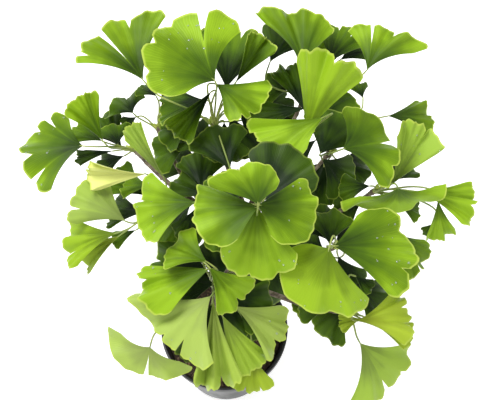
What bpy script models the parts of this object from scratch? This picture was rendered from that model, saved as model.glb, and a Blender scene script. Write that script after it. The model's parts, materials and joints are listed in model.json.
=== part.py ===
# A young ginkgo bonsai in a thin black nursery pot, for Blender 4.5.
# Metres, +Z up; the pot stands on z = 0 with its axis on the origin and its front towards -Y.
# Sizes below are in millimetres and become metres where a mesh or curve is made.
import math
from collections import namedtuple

import bmesh
import bpy
import numpy as np
from mathutils.bvhtree import BVHTree

MM = 0.001
GAP = 0.3

# Pot, a P12 nursery pot
POT_HEIGHT = 100.0
POT_RIM_RADIUS = 60.0
POT_MOUTH_RADIUS = 57.6
POT_BASE_RADIUS = 43.0
POT_WALL = 1.6
POT_FLOOR = 2.4
POT_LIP_DEPTH = 9.0
POT_FOOT_RECESS = 1.6
POT_FOOT_RING = 7.0
POT_FOOT_DISC = 16.0
POT_STEPS = 48
DRAIN_HOLES = 6
DRAIN_HOLE_RADIUS = 4.0
DRAIN_HOLE_CIRCLE = 25.5

# Soil and the trunk's seat in it
SOIL_TOP = 86.0
SOIL_MOUND = 3.0
SOIL_STEPS = 36
TRUNK_SEAT_DEPTH = 26.0
TRUNK_FOOT_RADIUS = 7.0
TRUNK_TOP_RADIUS = 4.0
BRANCH_START_RADIUS = 2.9
BRANCH_END_RADIUS = 1.7

# Leaves
BLADE_THICKNESS = 0.8
PETIOLE_RADIUS = 0.85
STALK_SINK = 2.5
STALK_OFFSET = 0.9
STALK_TWIST = 0.5  # turn of the stalks' flat sides, radians, so none lies along a blade
BLADE_START = 0.12
CLEFT_WIDTH = 0.05
SHALLOW = 0.13
CLEARANCE = 0.7
DROP_STEP = 4.0
DROP_STEPS = 24

# The photograph: it is 500 x 400 pixels, taken from the front and above
PICTURE_CENTRE = (250.0, 200.0)
FOCAL_PIXELS = 1000.0
VIEW_ANGLE = math.radians(64.0)
RIM_PIXEL = (224.5, 328.0)
RIM_PIXEL_RADIUS = 63.3
VIEW_RIGHT = np.array((1.0, 0.0, 0.0))
VIEW_UP = np.array((0.0, math.sin(VIEW_ANGLE), math.cos(VIEW_ANGLE)))
VIEW_AHEAD = np.array((0.0, math.cos(VIEW_ANGLE), -math.sin(VIEW_ANGLE)))


def picture_ray(column, row):
    """Direction, one unit deep, from the camera through a pixel."""
    across = (column - PICTURE_CENTRE[0]) / FOCAL_PIXELS
    upward = (PICTURE_CENTRE[1] - row) / FOCAL_PIXELS
    return VIEW_AHEAD + across * VIEW_RIGHT + upward * VIEW_UP


RIM_DISTANCE = FOCAL_PIXELS * POT_RIM_RADIUS / RIM_PIXEL_RADIUS
CAMERA = np.array((0.0, 0.0, POT_HEIGHT)) - RIM_DISTANCE * picture_ray(*RIM_PIXEL)


def seen(column, row, height):
    """Place, in mm, of the point seen at a pixel when it is this high above the pot's foot."""
    ray = picture_ray(column, row)
    return CAMERA + ray * (height - CAMERA[2]) / ray[2]


# Leaves and sprays, as read from the photograph. A foot, tip or hub is (column, row, height in mm);
# a spread is the fan's half angles in degrees, left and right of its middle as seen from above.
Leaf = namedtuple("Leaf", "foot tip spread roll cup droop reach clefts lift flare ripple")
Spray = namedtuple("Spray", "hub start leaves")


def leaf(foot, tip, spread=(45, 45), roll=0, cup=0, droop=15, reach=(0.95, 0.95), clefts=(),
         lift=(0, 0), flare=0.55, ripple=4):
    return Leaf(seen(*foot), seen(*tip), spread, roll, cup, droop, reach, clefts, lift, flare, ripple)


def spray(hub, start, leaves):
    return Spray(seen(*hub), start, leaves)


SPRAYS = {
    "upper_left_spray": spray(
        hub=(214, 124, 266), start=0.95,
        leaves=[
            leaf(foot=(143, 80, 285), tip=(109, 22, 300), spread=(49, 48), cup=4, droop=12,
                 reach=(1.08, 1.15), clefts=((-0.25, 0.6), (0.35, 0.12), (-0.82, 0.14))),
            leaf(foot=(215, 81, 322), tip=(150, 30, 340), spread=(85, 86), cup=3, droop=16,
                 reach=(0.45, 0.88), clefts=((0.52, 0.42), (-0.1, 0.08), (-0.42, 0.06), (0.2, 0.05))),
            leaf(foot=(216, 84, 312), tip=(260, 112, 306), spread=(42, 50), cup=5, droop=18,
                 reach=(1.15, 0.72), clefts=((0.15, 0.1), (0.45, 0.08))),
            leaf(foot=(236, 82, 290), tip=(262, 34, 312), spread=(26, 20), roll=-40, cup=18, droop=8,
                 reach=(0.9, 1)),
            leaf(foot=(226, 88, 284), tip=(240, 28, 284), spread=(44, 38), cup=5, droop=10, flare=0.7,
                 clefts=((0.1, 0.1),)),
            leaf(foot=(205, 100, 272), tip=(158, 112, 252), spread=(32, 38), cup=6, reach=(0.9, 0.9),
                 clefts=((0.2, 0.08),)),
            leaf(foot=(211, 92, 300), tip=(172, 134, 272), spread=(22, 20), roll=35, cup=20, droop=12),
            leaf(foot=(215, 150, 240), tip=(184, 128, 236), spread=(45, 40), droop=12),
            leaf(foot=(206, 170, 228), tip=(164, 158, 214), spread=(35, 35)),
            leaf(foot=(230, 170, 270), tip=(212, 126, 272), spread=(46, 46)),
            leaf(foot=(224, 122, 280), tip=(226, 164, 262), spread=(44, 42)),
            leaf(foot=(258, 112, 262), tip=(290, 96, 248), spread=(45, 45), reach=(0.9, 0.9),
                 clefts=((0, 0.1),)),
            leaf(foot=(230, 116, 258), tip=(246, 160, 238), spread=(46, 44)),
            leaf(foot=(198, 118, 252), tip=(158, 132, 236), spread=(48, 44)),
            leaf(foot=(238, 112, 258), tip=(272, 142, 242), spread=(46, 44)),
            leaf(foot=(192, 142, 232), tip=(152, 154, 216), spread=(44, 44), droop=18),
        ],
    ),
    "small_left_spray": spray(
        hub=(158, 128, 215), start=0.6,
        leaves=[
            leaf(foot=(133, 113, 225), tip=(120, 97, 220), spread=(70, 60), reach=(1.15, 1.05),
                 clefts=((0.2, 0.15),), ripple=10),
            leaf(foot=(156, 96, 236), tip=(143, 84, 228), spread=(45, 40), reach=(0.9, 0.9)),
            leaf(foot=(136, 117, 220), tip=(122, 128, 212), spread=(45, 45), reach=(0.9, 0.9)),
            leaf(foot=(160, 112, 222), tip=(182, 90, 224), spread=(46, 44)),
        ],
    ),
    "left_spray": spray(
        hub=(134, 149, 222), start=0.75,
        leaves=[
            leaf(foot=(83, 146, 242), tip=(23, 142, 226), spread=(72, 58), cup=-6, droop=18,
                 reach=(0.86, 0.72), clefts=((0.55, 0.3), (0.28, 0.12), (-0.27, 0.15), (-0.6, 0.3))),
            leaf(foot=(103, 141, 252), tip=(79, 95, 276), spread=(32, 22), cup=8, droop=8,
                 reach=(0.95, 1)),
            leaf(foot=(118, 145, 228), tip=(113, 124, 222), spread=(52, 48), cup=5,
                 reach=(0.95, 0.95)),
            leaf(foot=(113, 151, 215), tip=(76, 157, 200), spread=(16, 14), droop=10),
            leaf(foot=(102, 141, 238), tip=(72, 128, 234), spread=(34, 34)),
            leaf(foot=(122, 148, 220), tip=(98, 116, 220), spread=(34, 34)),
            leaf(foot=(124, 156, 210), tip=(98, 168, 194), spread=(36, 34), droop=18),
        ],
    ),
    "lower_left_spray": spray(
        hub=(156, 214, 214), start=0.55,
        leaves=[
            leaf(foot=(164, 178, 255), tip=(131, 123, 276), spread=(13, 12), roll=30, cup=12,
                 droop=10),
            leaf(foot=(146, 174, 240), tip=(86, 171, 250), spread=(22, 16), roll=55, cup=10, droop=14),
            leaf(foot=(125, 221, 240), tip=(77, 187, 248), spread=(42, 38), cup=-8,
                 reach=(0.95, 0.75), clefts=((-0.55, 0.15),)),
            leaf(foot=(117, 233, 232), tip=(64, 248, 208), spread=(30, 32), droop=22, reach=(0.95, 1),
                 clefts=((0.35, 0.3), (-0.3, 0.2))),
            leaf(foot=(119, 236, 222), tip=(84, 262, 192), spread=(24, 25), reach=(1, 1), cup=6,
                 clefts=((0.4, 0.2),)),
            leaf(foot=(136, 230, 222), tip=(112, 242, 212), spread=(26, 26)),
            leaf(foot=(150, 186, 225), tip=(122, 186, 212), spread=(32, 34), droop=20),
            leaf(foot=(148, 196, 216), tip=(108, 176, 214), spread=(30, 36)),
            leaf(foot=(146, 212, 210), tip=(108, 212, 190), spread=(30, 30), droop=18),
        ],
    ),
    "centre_left_spray": spray(
        hub=(206, 206, 246), start=0.7,
        leaves=[
            leaf(foot=(196, 202, 285), tip=(135, 214, 270), spread=(46, 44), cup=4, reach=(0.93, 1),
                 clefts=((0.3, 0.07),)),
            leaf(foot=(196, 208, 272), tip=(180, 240, 252), spread=(45, 30), reach=(0.9, 0.9)),
            leaf(foot=(216, 238, 258), tip=(188, 222, 248), spread=(42, 40)),
            leaf(foot=(190, 206, 238), tip=(160, 246, 228), spread=(34, 34)),
            leaf(foot=(214, 198, 232), tip=(176, 176, 226), spread=(36, 40)),
            leaf(foot=(202, 192, 236), tip=(200, 152, 236), spread=(42, 42)),
            leaf(foot=(222, 212, 270), tip=(232, 252, 254), spread=(48, 48), droop=20, flare=0.7),
            leaf(foot=(232, 206, 262), tip=(228, 170, 262), spread=(50, 48), flare=0.8),
        ],
    ),
    "front_spray": spray(
        hub=(213, 284, 214), start=0.35,
        leaves=[
            leaf(foot=(207, 262, 268), tip=(170, 246, 258), spread=(42, 44), cup=10, droop=20),
            leaf(foot=(207, 267, 245), tip=(151, 262, 225), spread=(36, 32), droop=20,
                 clefts=((0.1, 0.08),)),
            leaf(foot=(209, 269, 262), tip=(138, 290, 238), spread=(36, 20), droop=20, reach=(0.8, 1),
                 clefts=((0.3, 0.08),), flare=0.9),
            leaf(foot=(209, 267, 268), tip=(240, 306, 240), spread=(38, 36), cup=6, droop=22,
                 reach=(0.98, 0.9), clefts=((-0.1, 0.1),)),
            leaf(foot=(211, 296, 262), tip=(163, 344, 238), spread=(52, 46), reach=(1.08, 1.38),
                 clefts=((-0.3, 0.22), (0.1, 0.06))),
            leaf(foot=(213, 299, 256), tip=(216, 391, 226), spread=(20, 17), droop=8,
                 clefts=((-0.2, 0.08),), ripple=8),
            leaf(foot=(222, 315, 238), tip=(252, 374, 212), spread=(24, 24), droop=12, flare=0.7),
            leaf(foot=(234, 306, 228), tip=(286, 336, 205), spread=(32, 32), reach=(0.88, 1.1),
                 clefts=((0.35, 0.1),)),
            leaf(foot=(252, 352, 205), tip=(250, 394, 185), spread=(42, 40), droop=20,
                 clefts=((0.2, 0.12), (-0.4, 0.1))),
            leaf(foot=(258, 256, 228), tip=(278, 304, 200), spread=(48, 45), droop=20),
            leaf(foot=(244, 296, 205), tip=(262, 340, 182), spread=(40, 40)),
            leaf(foot=(284, 248, 244), tip=(302, 270, 232), spread=(46, 46)),
            leaf(foot=(236, 276, 222), tip=(246, 312, 196), spread=(45, 45), droop=20),
            leaf(foot=(212, 302, 232), tip=(196, 366, 206), spread=(30, 28)),
            leaf(foot=(220, 278, 240), tip=(216, 240, 230), spread=(46, 44), flare=0.7),
            leaf(foot=(228, 292, 226), tip=(270, 314, 206), spread=(46, 44), droop=20),
            leaf(foot=(210, 274, 240), tip=(168, 278, 220), spread=(50, 50), flare=0.9),
            leaf(foot=(222, 298, 218), tip=(232, 342, 190), spread=(48, 46), droop=20),
            leaf(foot=(214, 284, 250), tip=(176, 286, 234), spread=(46, 46), flare=0.8),
        ],
    ),
    "pot_side_spray": spray(
        hub=(166, 322, 160), start=0.2,
        leaves=[
            leaf(foot=(150, 347, 178), tip=(146, 377, 160), spread=(71, 103), droop=5,
                 reach=(1.65, 1.65), clefts=((0, 0.75),), flare=0.7),
        ],
    ),
    "centre_spray": spray(
        hub=(262, 207, 300), start=1.0,
        leaves=[
            leaf(foot=(258, 204, 352), tip=(249, 162, 368), spread=(60, 70), droop=22,
                 reach=(1.42, 0.62), clefts=((-0.3, 0.05),), flare=0.8),
            leaf(foot=(258, 207, 345), tip=(192, 216, 335), spread=(58, 34), droop=22,
                 reach=(0.66, 1), flare=0.9),
            leaf(foot=(257, 207, 340), tip=(254, 281, 306), spread=(44, 42), flare=0.9, cup=10,
                 droop=22, reach=(0.9, 0.72), clefts=((0.1, 0.05),)),
            leaf(foot=(258, 205, 338), tip=(318, 216, 322), spread=(40, 70), cup=10, droop=20,
                 reach=(0.95, 0.62), flare=0.9),
            leaf(foot=(264, 200, 322), tip=(304, 152, 334), spread=(60, 52), cup=14,
                 reach=(0.85, 0.78), flare=0.85),
            leaf(foot=(272, 212, 288), tip=(304, 238, 268), spread=(46, 44)),
        ],
    ),
    "upper_right_spray": spray(
        hub=(308, 134, 264), start=0.9,
        leaves=[
            leaf(foot=(305, 136, 302), tip=(330, 50, 352), spread=(27, 31), cup=-8, droop=12,
                 reach=(0.92, 0.95), clefts=((0.2, 0.04),)),
            leaf(foot=(324, 117, 330), tip=(262, 149, 318), spread=(46, 26), cup=6, droop=12,
                 reach=(0.62, 1.22)),
            leaf(foot=(367, 70, 298), tip=(385, 26, 310), spread=(48, 48), reach=(1.05, 1.48),
                 clefts=((-0.31, 0.42), (0.35, 0.08)), flare=0.5),
            leaf(foot=(305, 112, 255), tip=(282, 66, 255), spread=(18, 20)),
            leaf(foot=(363, 98, 240), tip=(357, 83, 236), spread=(35, 35), droop=10),
            leaf(foot=(306, 108, 262), tip=(246, 124, 250), spread=(22, 26), cup=5),
            leaf(foot=(296, 126, 250), tip=(264, 112, 240), spread=(46, 46)),
            leaf(foot=(314, 124, 250), tip=(336, 86, 242), spread=(44, 44)),
            leaf(foot=(300, 146, 252), tip=(268, 182, 238), spread=(46, 46), flare=0.7),
        ],
    ),
    "back_spray": spray(
        hub=(306, 92, 244), start=0.85,
        leaves=[
            leaf(foot=(304, 68, 288), tip=(298, 10, 300), spread=(34, 48), droop=18,
                 reach=(1.45, 0.85)),
            leaf(foot=(328, 64, 275), tip=(348, 26, 272), spread=(40, 40), reach=(1, 1),
                 clefts=((0.3, 0.2), (-0.2, 0.12))),
            leaf(foot=(340, 60, 266), tip=(366, 46, 258), spread=(30, 32)),
            leaf(foot=(270, 62, 272), tip=(290, 28, 272), spread=(42, 40), droop=20),
            leaf(foot=(300, 74, 262), tip=(318, 40, 258), spread=(40, 40)),
            leaf(foot=(294, 86, 248), tip=(262, 88, 242), spread=(44, 44)),
        ],
    ),
    "right_spray": spray(
        hub=(330, 152, 254), start=0.8,
        leaves=[
            leaf(foot=(343, 149, 298), tip=(395, 140, 284), spread=(76, 72), cup=6, droop=18,
                 reach=(0.85, 0.95), clefts=((0.02, 0.26), (0.5, 0.06))),
            leaf(foot=(322, 159, 262), tip=(351, 185, 240), spread=(50, 52)),
            leaf(foot=(320, 154, 266), tip=(345, 114, 262), spread=(50, 48), flare=0.7),
            leaf(foot=(324, 166, 240), tip=(326, 206, 222), spread=(36, 40)),
            leaf(foot=(316, 140, 246), tip=(284, 166, 232), spread=(36, 36)),
            leaf(foot=(388, 116, 244), tip=(432, 117, 228), spread=(30, 38), droop=18),
            leaf(foot=(338, 160, 242), tip=(370, 170, 226), spread=(46, 44)),
            leaf(foot=(328, 160, 234), tip=(300, 194, 220), spread=(44, 44)),
        ],
    ),
    "far_right_spray": spray(
        hub=(376, 190, 246), start=0.65,
        leaves=[
            leaf(foot=(390, 186, 262), tip=(421, 122, 298), spread=(26, 26), roll=-30, cup=14,
                 droop=20, clefts=((0.3, 0.1),)),
            leaf(foot=(398, 188, 292), tip=(395, 213, 262), spread=(82, 84), droop=6,
                 reach=(1.5, 1.7), clefts=((0.1, 0.12),)),
            leaf(foot=(420, 192, 280), tip=(477, 203, 268), spread=(24, 34), clefts=((0.2, 0.05),)),
            leaf(foot=(438, 200, 262), tip=(440, 240, 228), spread=(24, 24), droop=10),
            leaf(foot=(384, 184, 246), tip=(404, 158, 236), spread=(44, 42)),
            leaf(foot=(370, 186, 260), tip=(338, 190, 252), spread=(40, 38)),
            leaf(foot=(436, 222, 240), tip=(425, 236, 226), spread=(35, 30), droop=10),
            leaf(foot=(398, 204, 250), tip=(420, 212, 238), spread=(30, 40), droop=10),
            leaf(foot=(366, 196, 238), tip=(336, 214, 228), spread=(36, 34)),
        ],
    ),
    "lower_right_spray": spray(
        hub=(334, 247, 268), start=0.6,
        leaves=[
            leaf(foot=(334, 246, 302), tip=(417, 250, 290), spread=(58, 46), cup=4, droop=18,
                 reach=(0.55, 0.95), clefts=((0.4, 0.1), (-0.3, 0.04)), flare=0.8),
            leaf(foot=(329, 248, 318), tip=(317, 314, 286), spread=(46, 105), cup=-14,
                 reach=(1.22, 0.3), flare=0.8),
            leaf(foot=(390, 232, 266), tip=(425, 266, 236), spread=(30, 34), droop=20,
                 clefts=((0.3, 0.15),)),
            leaf(foot=(330, 245, 270), tip=(330, 210, 262), spread=(46, 44)),
            leaf(foot=(336, 242, 258), tip=(358, 222, 244), spread=(40, 42)),
            leaf(foot=(328, 256, 246), tip=(290, 240, 232), spread=(46, 44)),
            leaf(foot=(328, 240, 252), tip=(304, 210, 246), spread=(44, 44)),
            leaf(foot=(338, 256, 246), tip=(352, 292, 226), spread=(44, 44), droop=18),
        ],
    ),
    "front_right_spray": spray(
        hub=(350, 312, 232), start=0.45,
        leaves=[
            leaf(foot=(361, 319, 252), tip=(338, 323, 247), spread=(36, 32), clefts=((0.2, 0.15),)),
            leaf(foot=(357, 321, 268), tip=(411, 313, 256), spread=(30, 38), droop=18,
                 reach=(1.05, 0.95), clefts=((-0.25, 0.1), (0.3, 0.12))),
            leaf(foot=(372, 323, 248), tip=(413, 337, 238), spread=(25, 25)),
            leaf(foot=(360, 343, 222), tip=(393, 389, 188), spread=(49, 49), cup=4, reach=(1, 1.05),
                 clefts=((0.1, 0.2), (-0.35, 0.06))),
            leaf(foot=(352, 300, 238), tip=(316, 330, 212), spread=(46, 46)),
            leaf(foot=(352, 284, 258), tip=(386, 306, 236), spread=(42, 40), reach=(0.9, 0.9)),
            leaf(foot=(355, 276, 272), tip=(372, 291, 264), spread=(32, 32), droop=10),
            leaf(foot=(328, 286, 216), tip=(290, 302, 196), spread=(44, 46), droop=12),
            leaf(foot=(340, 304, 242), tip=(300, 298, 226), spread=(44, 46)),
        ],
    ),
}

TRUNK_LINE = (
    (0.0, 0.0, SOIL_TOP - TRUNK_SEAT_DEPTH + 2.0),
    (0.0, 0.0, SOIL_TOP + 2.0),
    (3.0, 5.0, 108.0),
    (-3.0, 13.0, 134.0),
    (2.0, 24.0, 160.0),
    (12.0, 33.0, 188.0),
    (16.0, 44.0, 216.0),
    (20.0, 52.0, 244.0),
)
TWIG_LENGTH = 15.0
TWIG_RISE = 22.0


# Shape of one leaf
def unit(vector):
    return vector / np.linalg.norm(vector)


def blade_axes(leaf_):
    """Sideways, forward and upward directions at a blade's foot, and its length along the surface."""
    reach = leaf_.tip - leaf_.foot
    chord = np.linalg.norm(reach)
    ahead = reach / chord
    side = unit(np.cross(ahead, (0.0, 0.0, 1.0)))
    above = np.cross(side, ahead)
    roll = math.radians(leaf_.roll)
    side, above = side * math.cos(roll) + above * math.sin(roll), above * math.cos(roll) - side * math.sin(roll)
    half = math.radians(leaf_.droop) / 2
    forward = ahead * math.cos(half) + above * math.sin(half)
    upward = above * math.cos(half) - ahead * math.sin(half)
    return side, forward, upward, chord / np.sinc(half / math.pi)


def margin(leaf_, across):
    """Length of the blade along each line from its foot, as a share of the middle's length."""
    reach = np.where(across < 0, leaf_.reach[0], leaf_.reach[1])
    length = 1 + (reach - 1) * np.abs(across) ** 2.2
    length = length * (1 - 0.10 * np.clip((np.abs(across) - 0.82) / 0.18, 0, 1) ** 2)
    for place, depth in leaf_.clefts:
        length = length * (1 - depth * np.clip(1 - np.abs(across - place) / CLEFT_WIDTH, 0, 1))
        length = length * (1 - 0.06 * np.exp(-((across - place) / 0.12) ** 2))
    return length


def blade_surface(leaf_, across, along):
    """Points of the blade's middle surface; across runs -1 to 1 and along runs 0 to 1 from the foot."""
    side, forward, upward, length = blade_axes(leaf_)
    half_angle = np.where(across < 0, leaf_.spread[0], leaf_.spread[1])
    out = along * margin(leaf_, across)
    opened = leaf_.flare + (1 - leaf_.flare) * np.minimum(out, 1) ** 0.8
    heading = np.radians(across * half_angle) * opened
    lift = np.where(across < 0, leaf_.lift[0], leaf_.lift[1]) * np.abs(across)
    waves = leaf_.ripple * out * np.sin(7 * across + 0.05 * leaf_.foot[0] + leaf_.spread[0])
    bend = np.radians(leaf_.droop) * out
    distance = length * out * np.sinc(bend / (2 * math.pi))
    slope = np.radians(leaf_.cup * across ** 2 + lift + waves) - bend / 2
    flat = distance * np.cos(slope)
    return (
        leaf_.foot
        + (flat * np.sin(heading))[..., None] * side
        + (flat * np.cos(heading))[..., None] * forward
        + (distance * np.sin(slope))[..., None] * upward
    )


def fan_columns(leaf_, count):
    """Places across the fan for a mesh's columns, with three at each deep cleft."""
    places = list(np.linspace(-1, 1, count + 1))
    for place, depth in leaf_.clefts:
        if depth < SHALLOW:
            continue
        places = [x for x in places if abs(x - place) > 1.3 * CLEFT_WIDTH]
        places += [place - CLEFT_WIDTH, place, place + CLEFT_WIDTH]
    return np.array(sorted(places))


def blade_grid(leaf_):
    """Grid of points, rows from the foot to the margin, fine enough for the solid."""
    width = np.linalg.norm(leaf_.tip - leaf_.foot) * math.radians(sum(leaf_.spread))
    columns = fan_columns(leaf_, 2 * int(np.clip(round(width / 24), 2, 3)))
    rows = np.linspace(BLADE_START, 1, 4 if width > 120 else 3)
    along, across = np.meshgrid(rows, columns, indexing="ij")
    return blade_surface(leaf_, across, along)


def lowered(leaf_, drop):
    """The same leaf lower down, on the same lines of sight."""
    foot, tip = (point - picture_step(point) * drop for point in (leaf_.foot, leaf_.tip))
    return leaf_._replace(foot=foot, tip=tip)


def picture_step(point):
    """Move along the line of sight that gains one unit of height."""
    ray = point - CAMERA
    return ray / ray[2]


# Lines of the wood and the leaf stalks
def smooth_line(points, steps):
    """Catmull-Rom curve through the points, with this many steps between two of them."""
    points = np.array(points, dtype=float)
    padded = np.vstack((2 * points[0] - points[1], points, 2 * points[-1] - points[-2]))
    line = []
    for i in range(1, len(points)):
        before, start, end, after = padded[i - 1:i + 3]
        for t in np.arange(steps) / steps:
            line.append(0.5 * (2 * start + (end - before) * t
                               + (2 * before - 5 * start + 4 * end - after) * t ** 2
                               + (3 * start - before - 3 * end + after) * t ** 3))
    return np.array(line + [points[-1]])


def bezier(start, first, second, end, count):
    t = np.linspace(0, 1, count)[:, None]
    return (start * (1 - t) ** 3 + 3 * first * t * (1 - t) ** 2
            + 3 * second * t ** 2 * (1 - t) + end * t ** 3)


def trunk_line():
    return smooth_line(TRUNK_LINE, 4)


def twig_line(spray_):
    """A spray's own woody twig, from its joint with the branch to its spur."""
    fork = trunk_line()[round(spray_.start * (len(trunk_line()) - 1))]
    direction = unit(spray_.hub - fork + (0.0, 0.0, TWIG_RISE))
    return spray_.hub - direction * TWIG_LENGTH, direction


def branch_line(spray_):
    line = trunk_line()
    index = round(spray_.start * (len(line) - 1))
    joint, direction = twig_line(spray_)
    fork = line[index]
    reach = np.linalg.norm(joint - fork)
    upward = unit(line[min(index + 1, len(line) - 1)] - line[index - 1])
    start = fork - upward * 2
    straight = joint - direction * 4
    curve = bezier(start, start + upward * reach * 0.35, straight - direction * reach * 0.35, straight, 6)
    return np.vstack((curve, joint))


def stalk_line(spray_, leaf_, bend):
    """A petiole from the spur to just inside the blade; bend moves its middle."""
    _, direction = twig_line(spray_)
    _, forward, _, _ = blade_axes(leaf_)
    outward = leaf_.foot - spray_.hub
    outward = unit(outward - direction * np.dot(outward, direction))
    start = spray_.hub - direction * STALK_SINK + outward * STALK_OFFSET
    reach = np.linalg.norm(leaf_.foot - start)
    toward = unit(leaf_.foot - start)
    first = start + unit(direction + toward) * reach * 0.35 + bend
    second = leaf_.foot - forward * reach * 0.35 + bend
    inside = blade_surface(leaf_, np.full(1, 0.03), np.array((0.17,)))
    return np.vstack((bezier(start, first, second, leaf_.foot, 5), inside))


def stalk_bends(spray_, leaf_):
    """Bends to try for a petiole, the straightest first."""
    toward = unit(leaf_.foot - spray_.hub)
    side = unit(np.cross(toward, (0.31, 0.17, 0.94)))
    other = np.cross(toward, side)
    yield np.zeros(3)
    for size in (5, 10, 16, 23, 31, 40):
        for turn in range(8):
            angle = math.tau * (turn + 0.5 * (size % 2)) / 8
            yield size * (math.cos(angle) * side + math.sin(angle) * other)


# Trial shapes, which show what a leaf would touch
def slab_tree(grid, thickness):
    """Search tree of a closed slab about a grid of points."""
    sideways = np.gradient(grid, axis=1)
    forward = np.gradient(grid, axis=0)
    normals = np.cross(sideways, forward)
    normals /= np.linalg.norm(normals, axis=2, keepdims=True)
    rows, columns = grid.shape[:2]
    vertices = np.vstack([(grid + normals * half).reshape(-1, 3) for half in (thickness / 2, -thickness / 2)])
    faces = []
    for row in range(rows - 1):
        for column in range(columns - 1):
            corner = row * columns + column
            for level in (0, rows * columns):
                a = corner + level
                faces += [(a, a + 1, a + columns), (a + 1, a + columns + 1, a + columns)]
    rim = [(0, c) for c in range(columns)] + [(r, columns - 1) for r in range(1, rows)]
    rim += [(rows - 1, c) for c in range(columns - 2, -1, -1)] + [(r, 0) for r in range(rows - 2, -1, -1)]
    for (r1, c1), (r2, c2) in zip(rim, rim[1:]):
        a, b = r1 * columns + c1, r2 * columns + c2
        faces.append((a, b, b + rows * columns, a + rows * columns))
    return search_tree(vertices, faces)


def tube_tree(line, radius, sides=6):
    tangents = np.gradient(line, axis=0)
    vertices = []
    for point, tangent in zip(line, tangents):
        across = unit(np.cross(tangent, (0.27, 0.91, 0.31)))
        other = unit(np.cross(tangent, across))
        for turn in range(sides):
            angle = math.tau * turn / sides
            vertices.append(point + radius * (math.cos(angle) * across + math.sin(angle) * other))
    faces = []
    for ring in range(len(line) - 1):
        for turn in range(sides):
            after = (turn + 1) % sides
            a, b = ring * sides + turn, ring * sides + after
            faces.append((a, b, b + sides, a + sides))
    return search_tree(np.array(vertices), faces)


def search_tree(vertices, faces):
    tree = BVHTree.FromPolygons(vertices.tolist(), faces)
    return tree, vertices.min(axis=0), vertices.max(axis=0)


def touches(shape, others):
    tree, low, high = shape
    for other, other_low, other_high in others:
        if np.all(low <= other_high) and np.all(high >= other_low) and tree.overlap(other):
            return True
    return False


# Every blade is lowered along its line of sight until it is clear, the highest blades first,
# and then every stalk takes the straightest way that is clear.
def settle_leaves():
    wood = [tube_tree(trunk_line()[4:], TRUNK_TOP_RADIUS + 1.5)]
    wood += [tube_tree(branch_line(s), BRANCH_START_RADIUS + 1.0) for s in SPRAYS.values()]
    twigs = {name: tube_tree(np.vstack((twig_line(s)[0], s.hub)), 3.6) for name, s in SPRAYS.items()}
    ring = np.linspace(0, math.tau, 33)
    rim = np.stack((POT_RIM_RADIUS * np.cos(ring), POT_RIM_RADIUS * np.sin(ring), 0 * ring + POT_HEIGHT), axis=1)
    wood.append(tube_tree(rim, 3.0))
    waiting = [(leaf_.foot[2] + leaf_.tip[2], name, leaf_) for name, s in SPRAYS.items() for leaf_ in s.leaves]
    waiting.sort(key=lambda entry: -entry[0])
    blades = []
    shapes = []
    for _, name, leaf_ in waiting:
        for step in range(DROP_STEPS):
            trial = lowered(leaf_, step * DROP_STEP)
            shape = slab_tree(blade_grid(trial), BLADE_THICKNESS + CLEARANCE)
            if not touches(shape, wood + list(twigs.values()) + shapes):
                break
        blades.append((name, trial))
        shapes.append(shape)
    stalks = []
    lines = []
    for index, (name, leaf_) in enumerate(blades):
        own = [shape for (other, _), shape in zip(blades, shapes) if other == name]
        foreign = [shape for (other, _), shape in zip(blades, shapes) if other != name]
        foreign += wood + [shape for other, shape in twigs.items() if other != name]
        foreign += [shape for other, shape in stalks if other != name]
        own.remove(shapes[index])
        chosen = None
        for bend in stalk_bends(SPRAYS[name], leaf_):
            line = stalk_line(SPRAYS[name], leaf_, bend)
            shape = tube_tree(line[:-1], PETIOLE_RADIUS + CLEARANCE / 2)
            if touches(shape, foreign):
                continue
            if chosen is None:
                chosen = line, shape
            if not touches(shape, own):
                chosen = line, shape
                break
        if chosen is not None:
            stalks.append((name, chosen[1]))
            lines.append((name, leaf_, chosen[0]))
    return lines


# Blender objects
def new_material(name, colour, roughness):
    material = bpy.data.materials.new(name)
    material.use_nodes = True
    shader = material.node_tree.nodes["Principled BSDF"]
    shader.inputs["Base Color"].default_value = (*colour, 1.0)
    shader.inputs["Roughness"].default_value = roughness
    material.diffuse_color = (*colour, 1.0)
    return material


def new_object(name, data, collection):
    thing = bpy.data.objects.new(name, data)
    collection.objects.link(thing)
    return thing


def evaluated_mesh(thing):
    """The object's mesh with its modifiers or bevel applied; the object goes."""
    bpy.context.view_layer.update()
    graph = bpy.context.evaluated_depsgraph_get()
    mesh = bpy.data.meshes.new_from_object(thing.evaluated_get(graph))
    bpy.data.objects.remove(thing)
    return mesh


def weld_caps(mesh):
    shape = bmesh.new()
    shape.from_mesh(mesh)
    bmesh.ops.remove_doubles(shape, verts=shape.verts, dist=0.00001)
    shape.to_mesh(mesh)
    shape.free()


def tube(name, line, radii, collection, resolution=0, twist=0.0):
    """A round bar along a line of points, with a radius at each, as a mesh object."""
    curve = bpy.data.curves.new(name, "CURVE")
    curve.dimensions = "3D"
    curve.bevel_depth = MM
    curve.bevel_resolution = resolution
    curve.use_fill_caps = True
    spline = curve.splines.new("POLY")
    spline.points.add(len(line) - 1)
    for place, point, radius in zip(spline.points, line, radii):
        place.co = (*(point * MM), 1.0)
        place.radius = radius
        place.tilt = twist
    mesh = evaluated_mesh(new_object(name, curve, collection))
    weld_caps(mesh)
    return new_object(name, mesh, collection)


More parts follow.
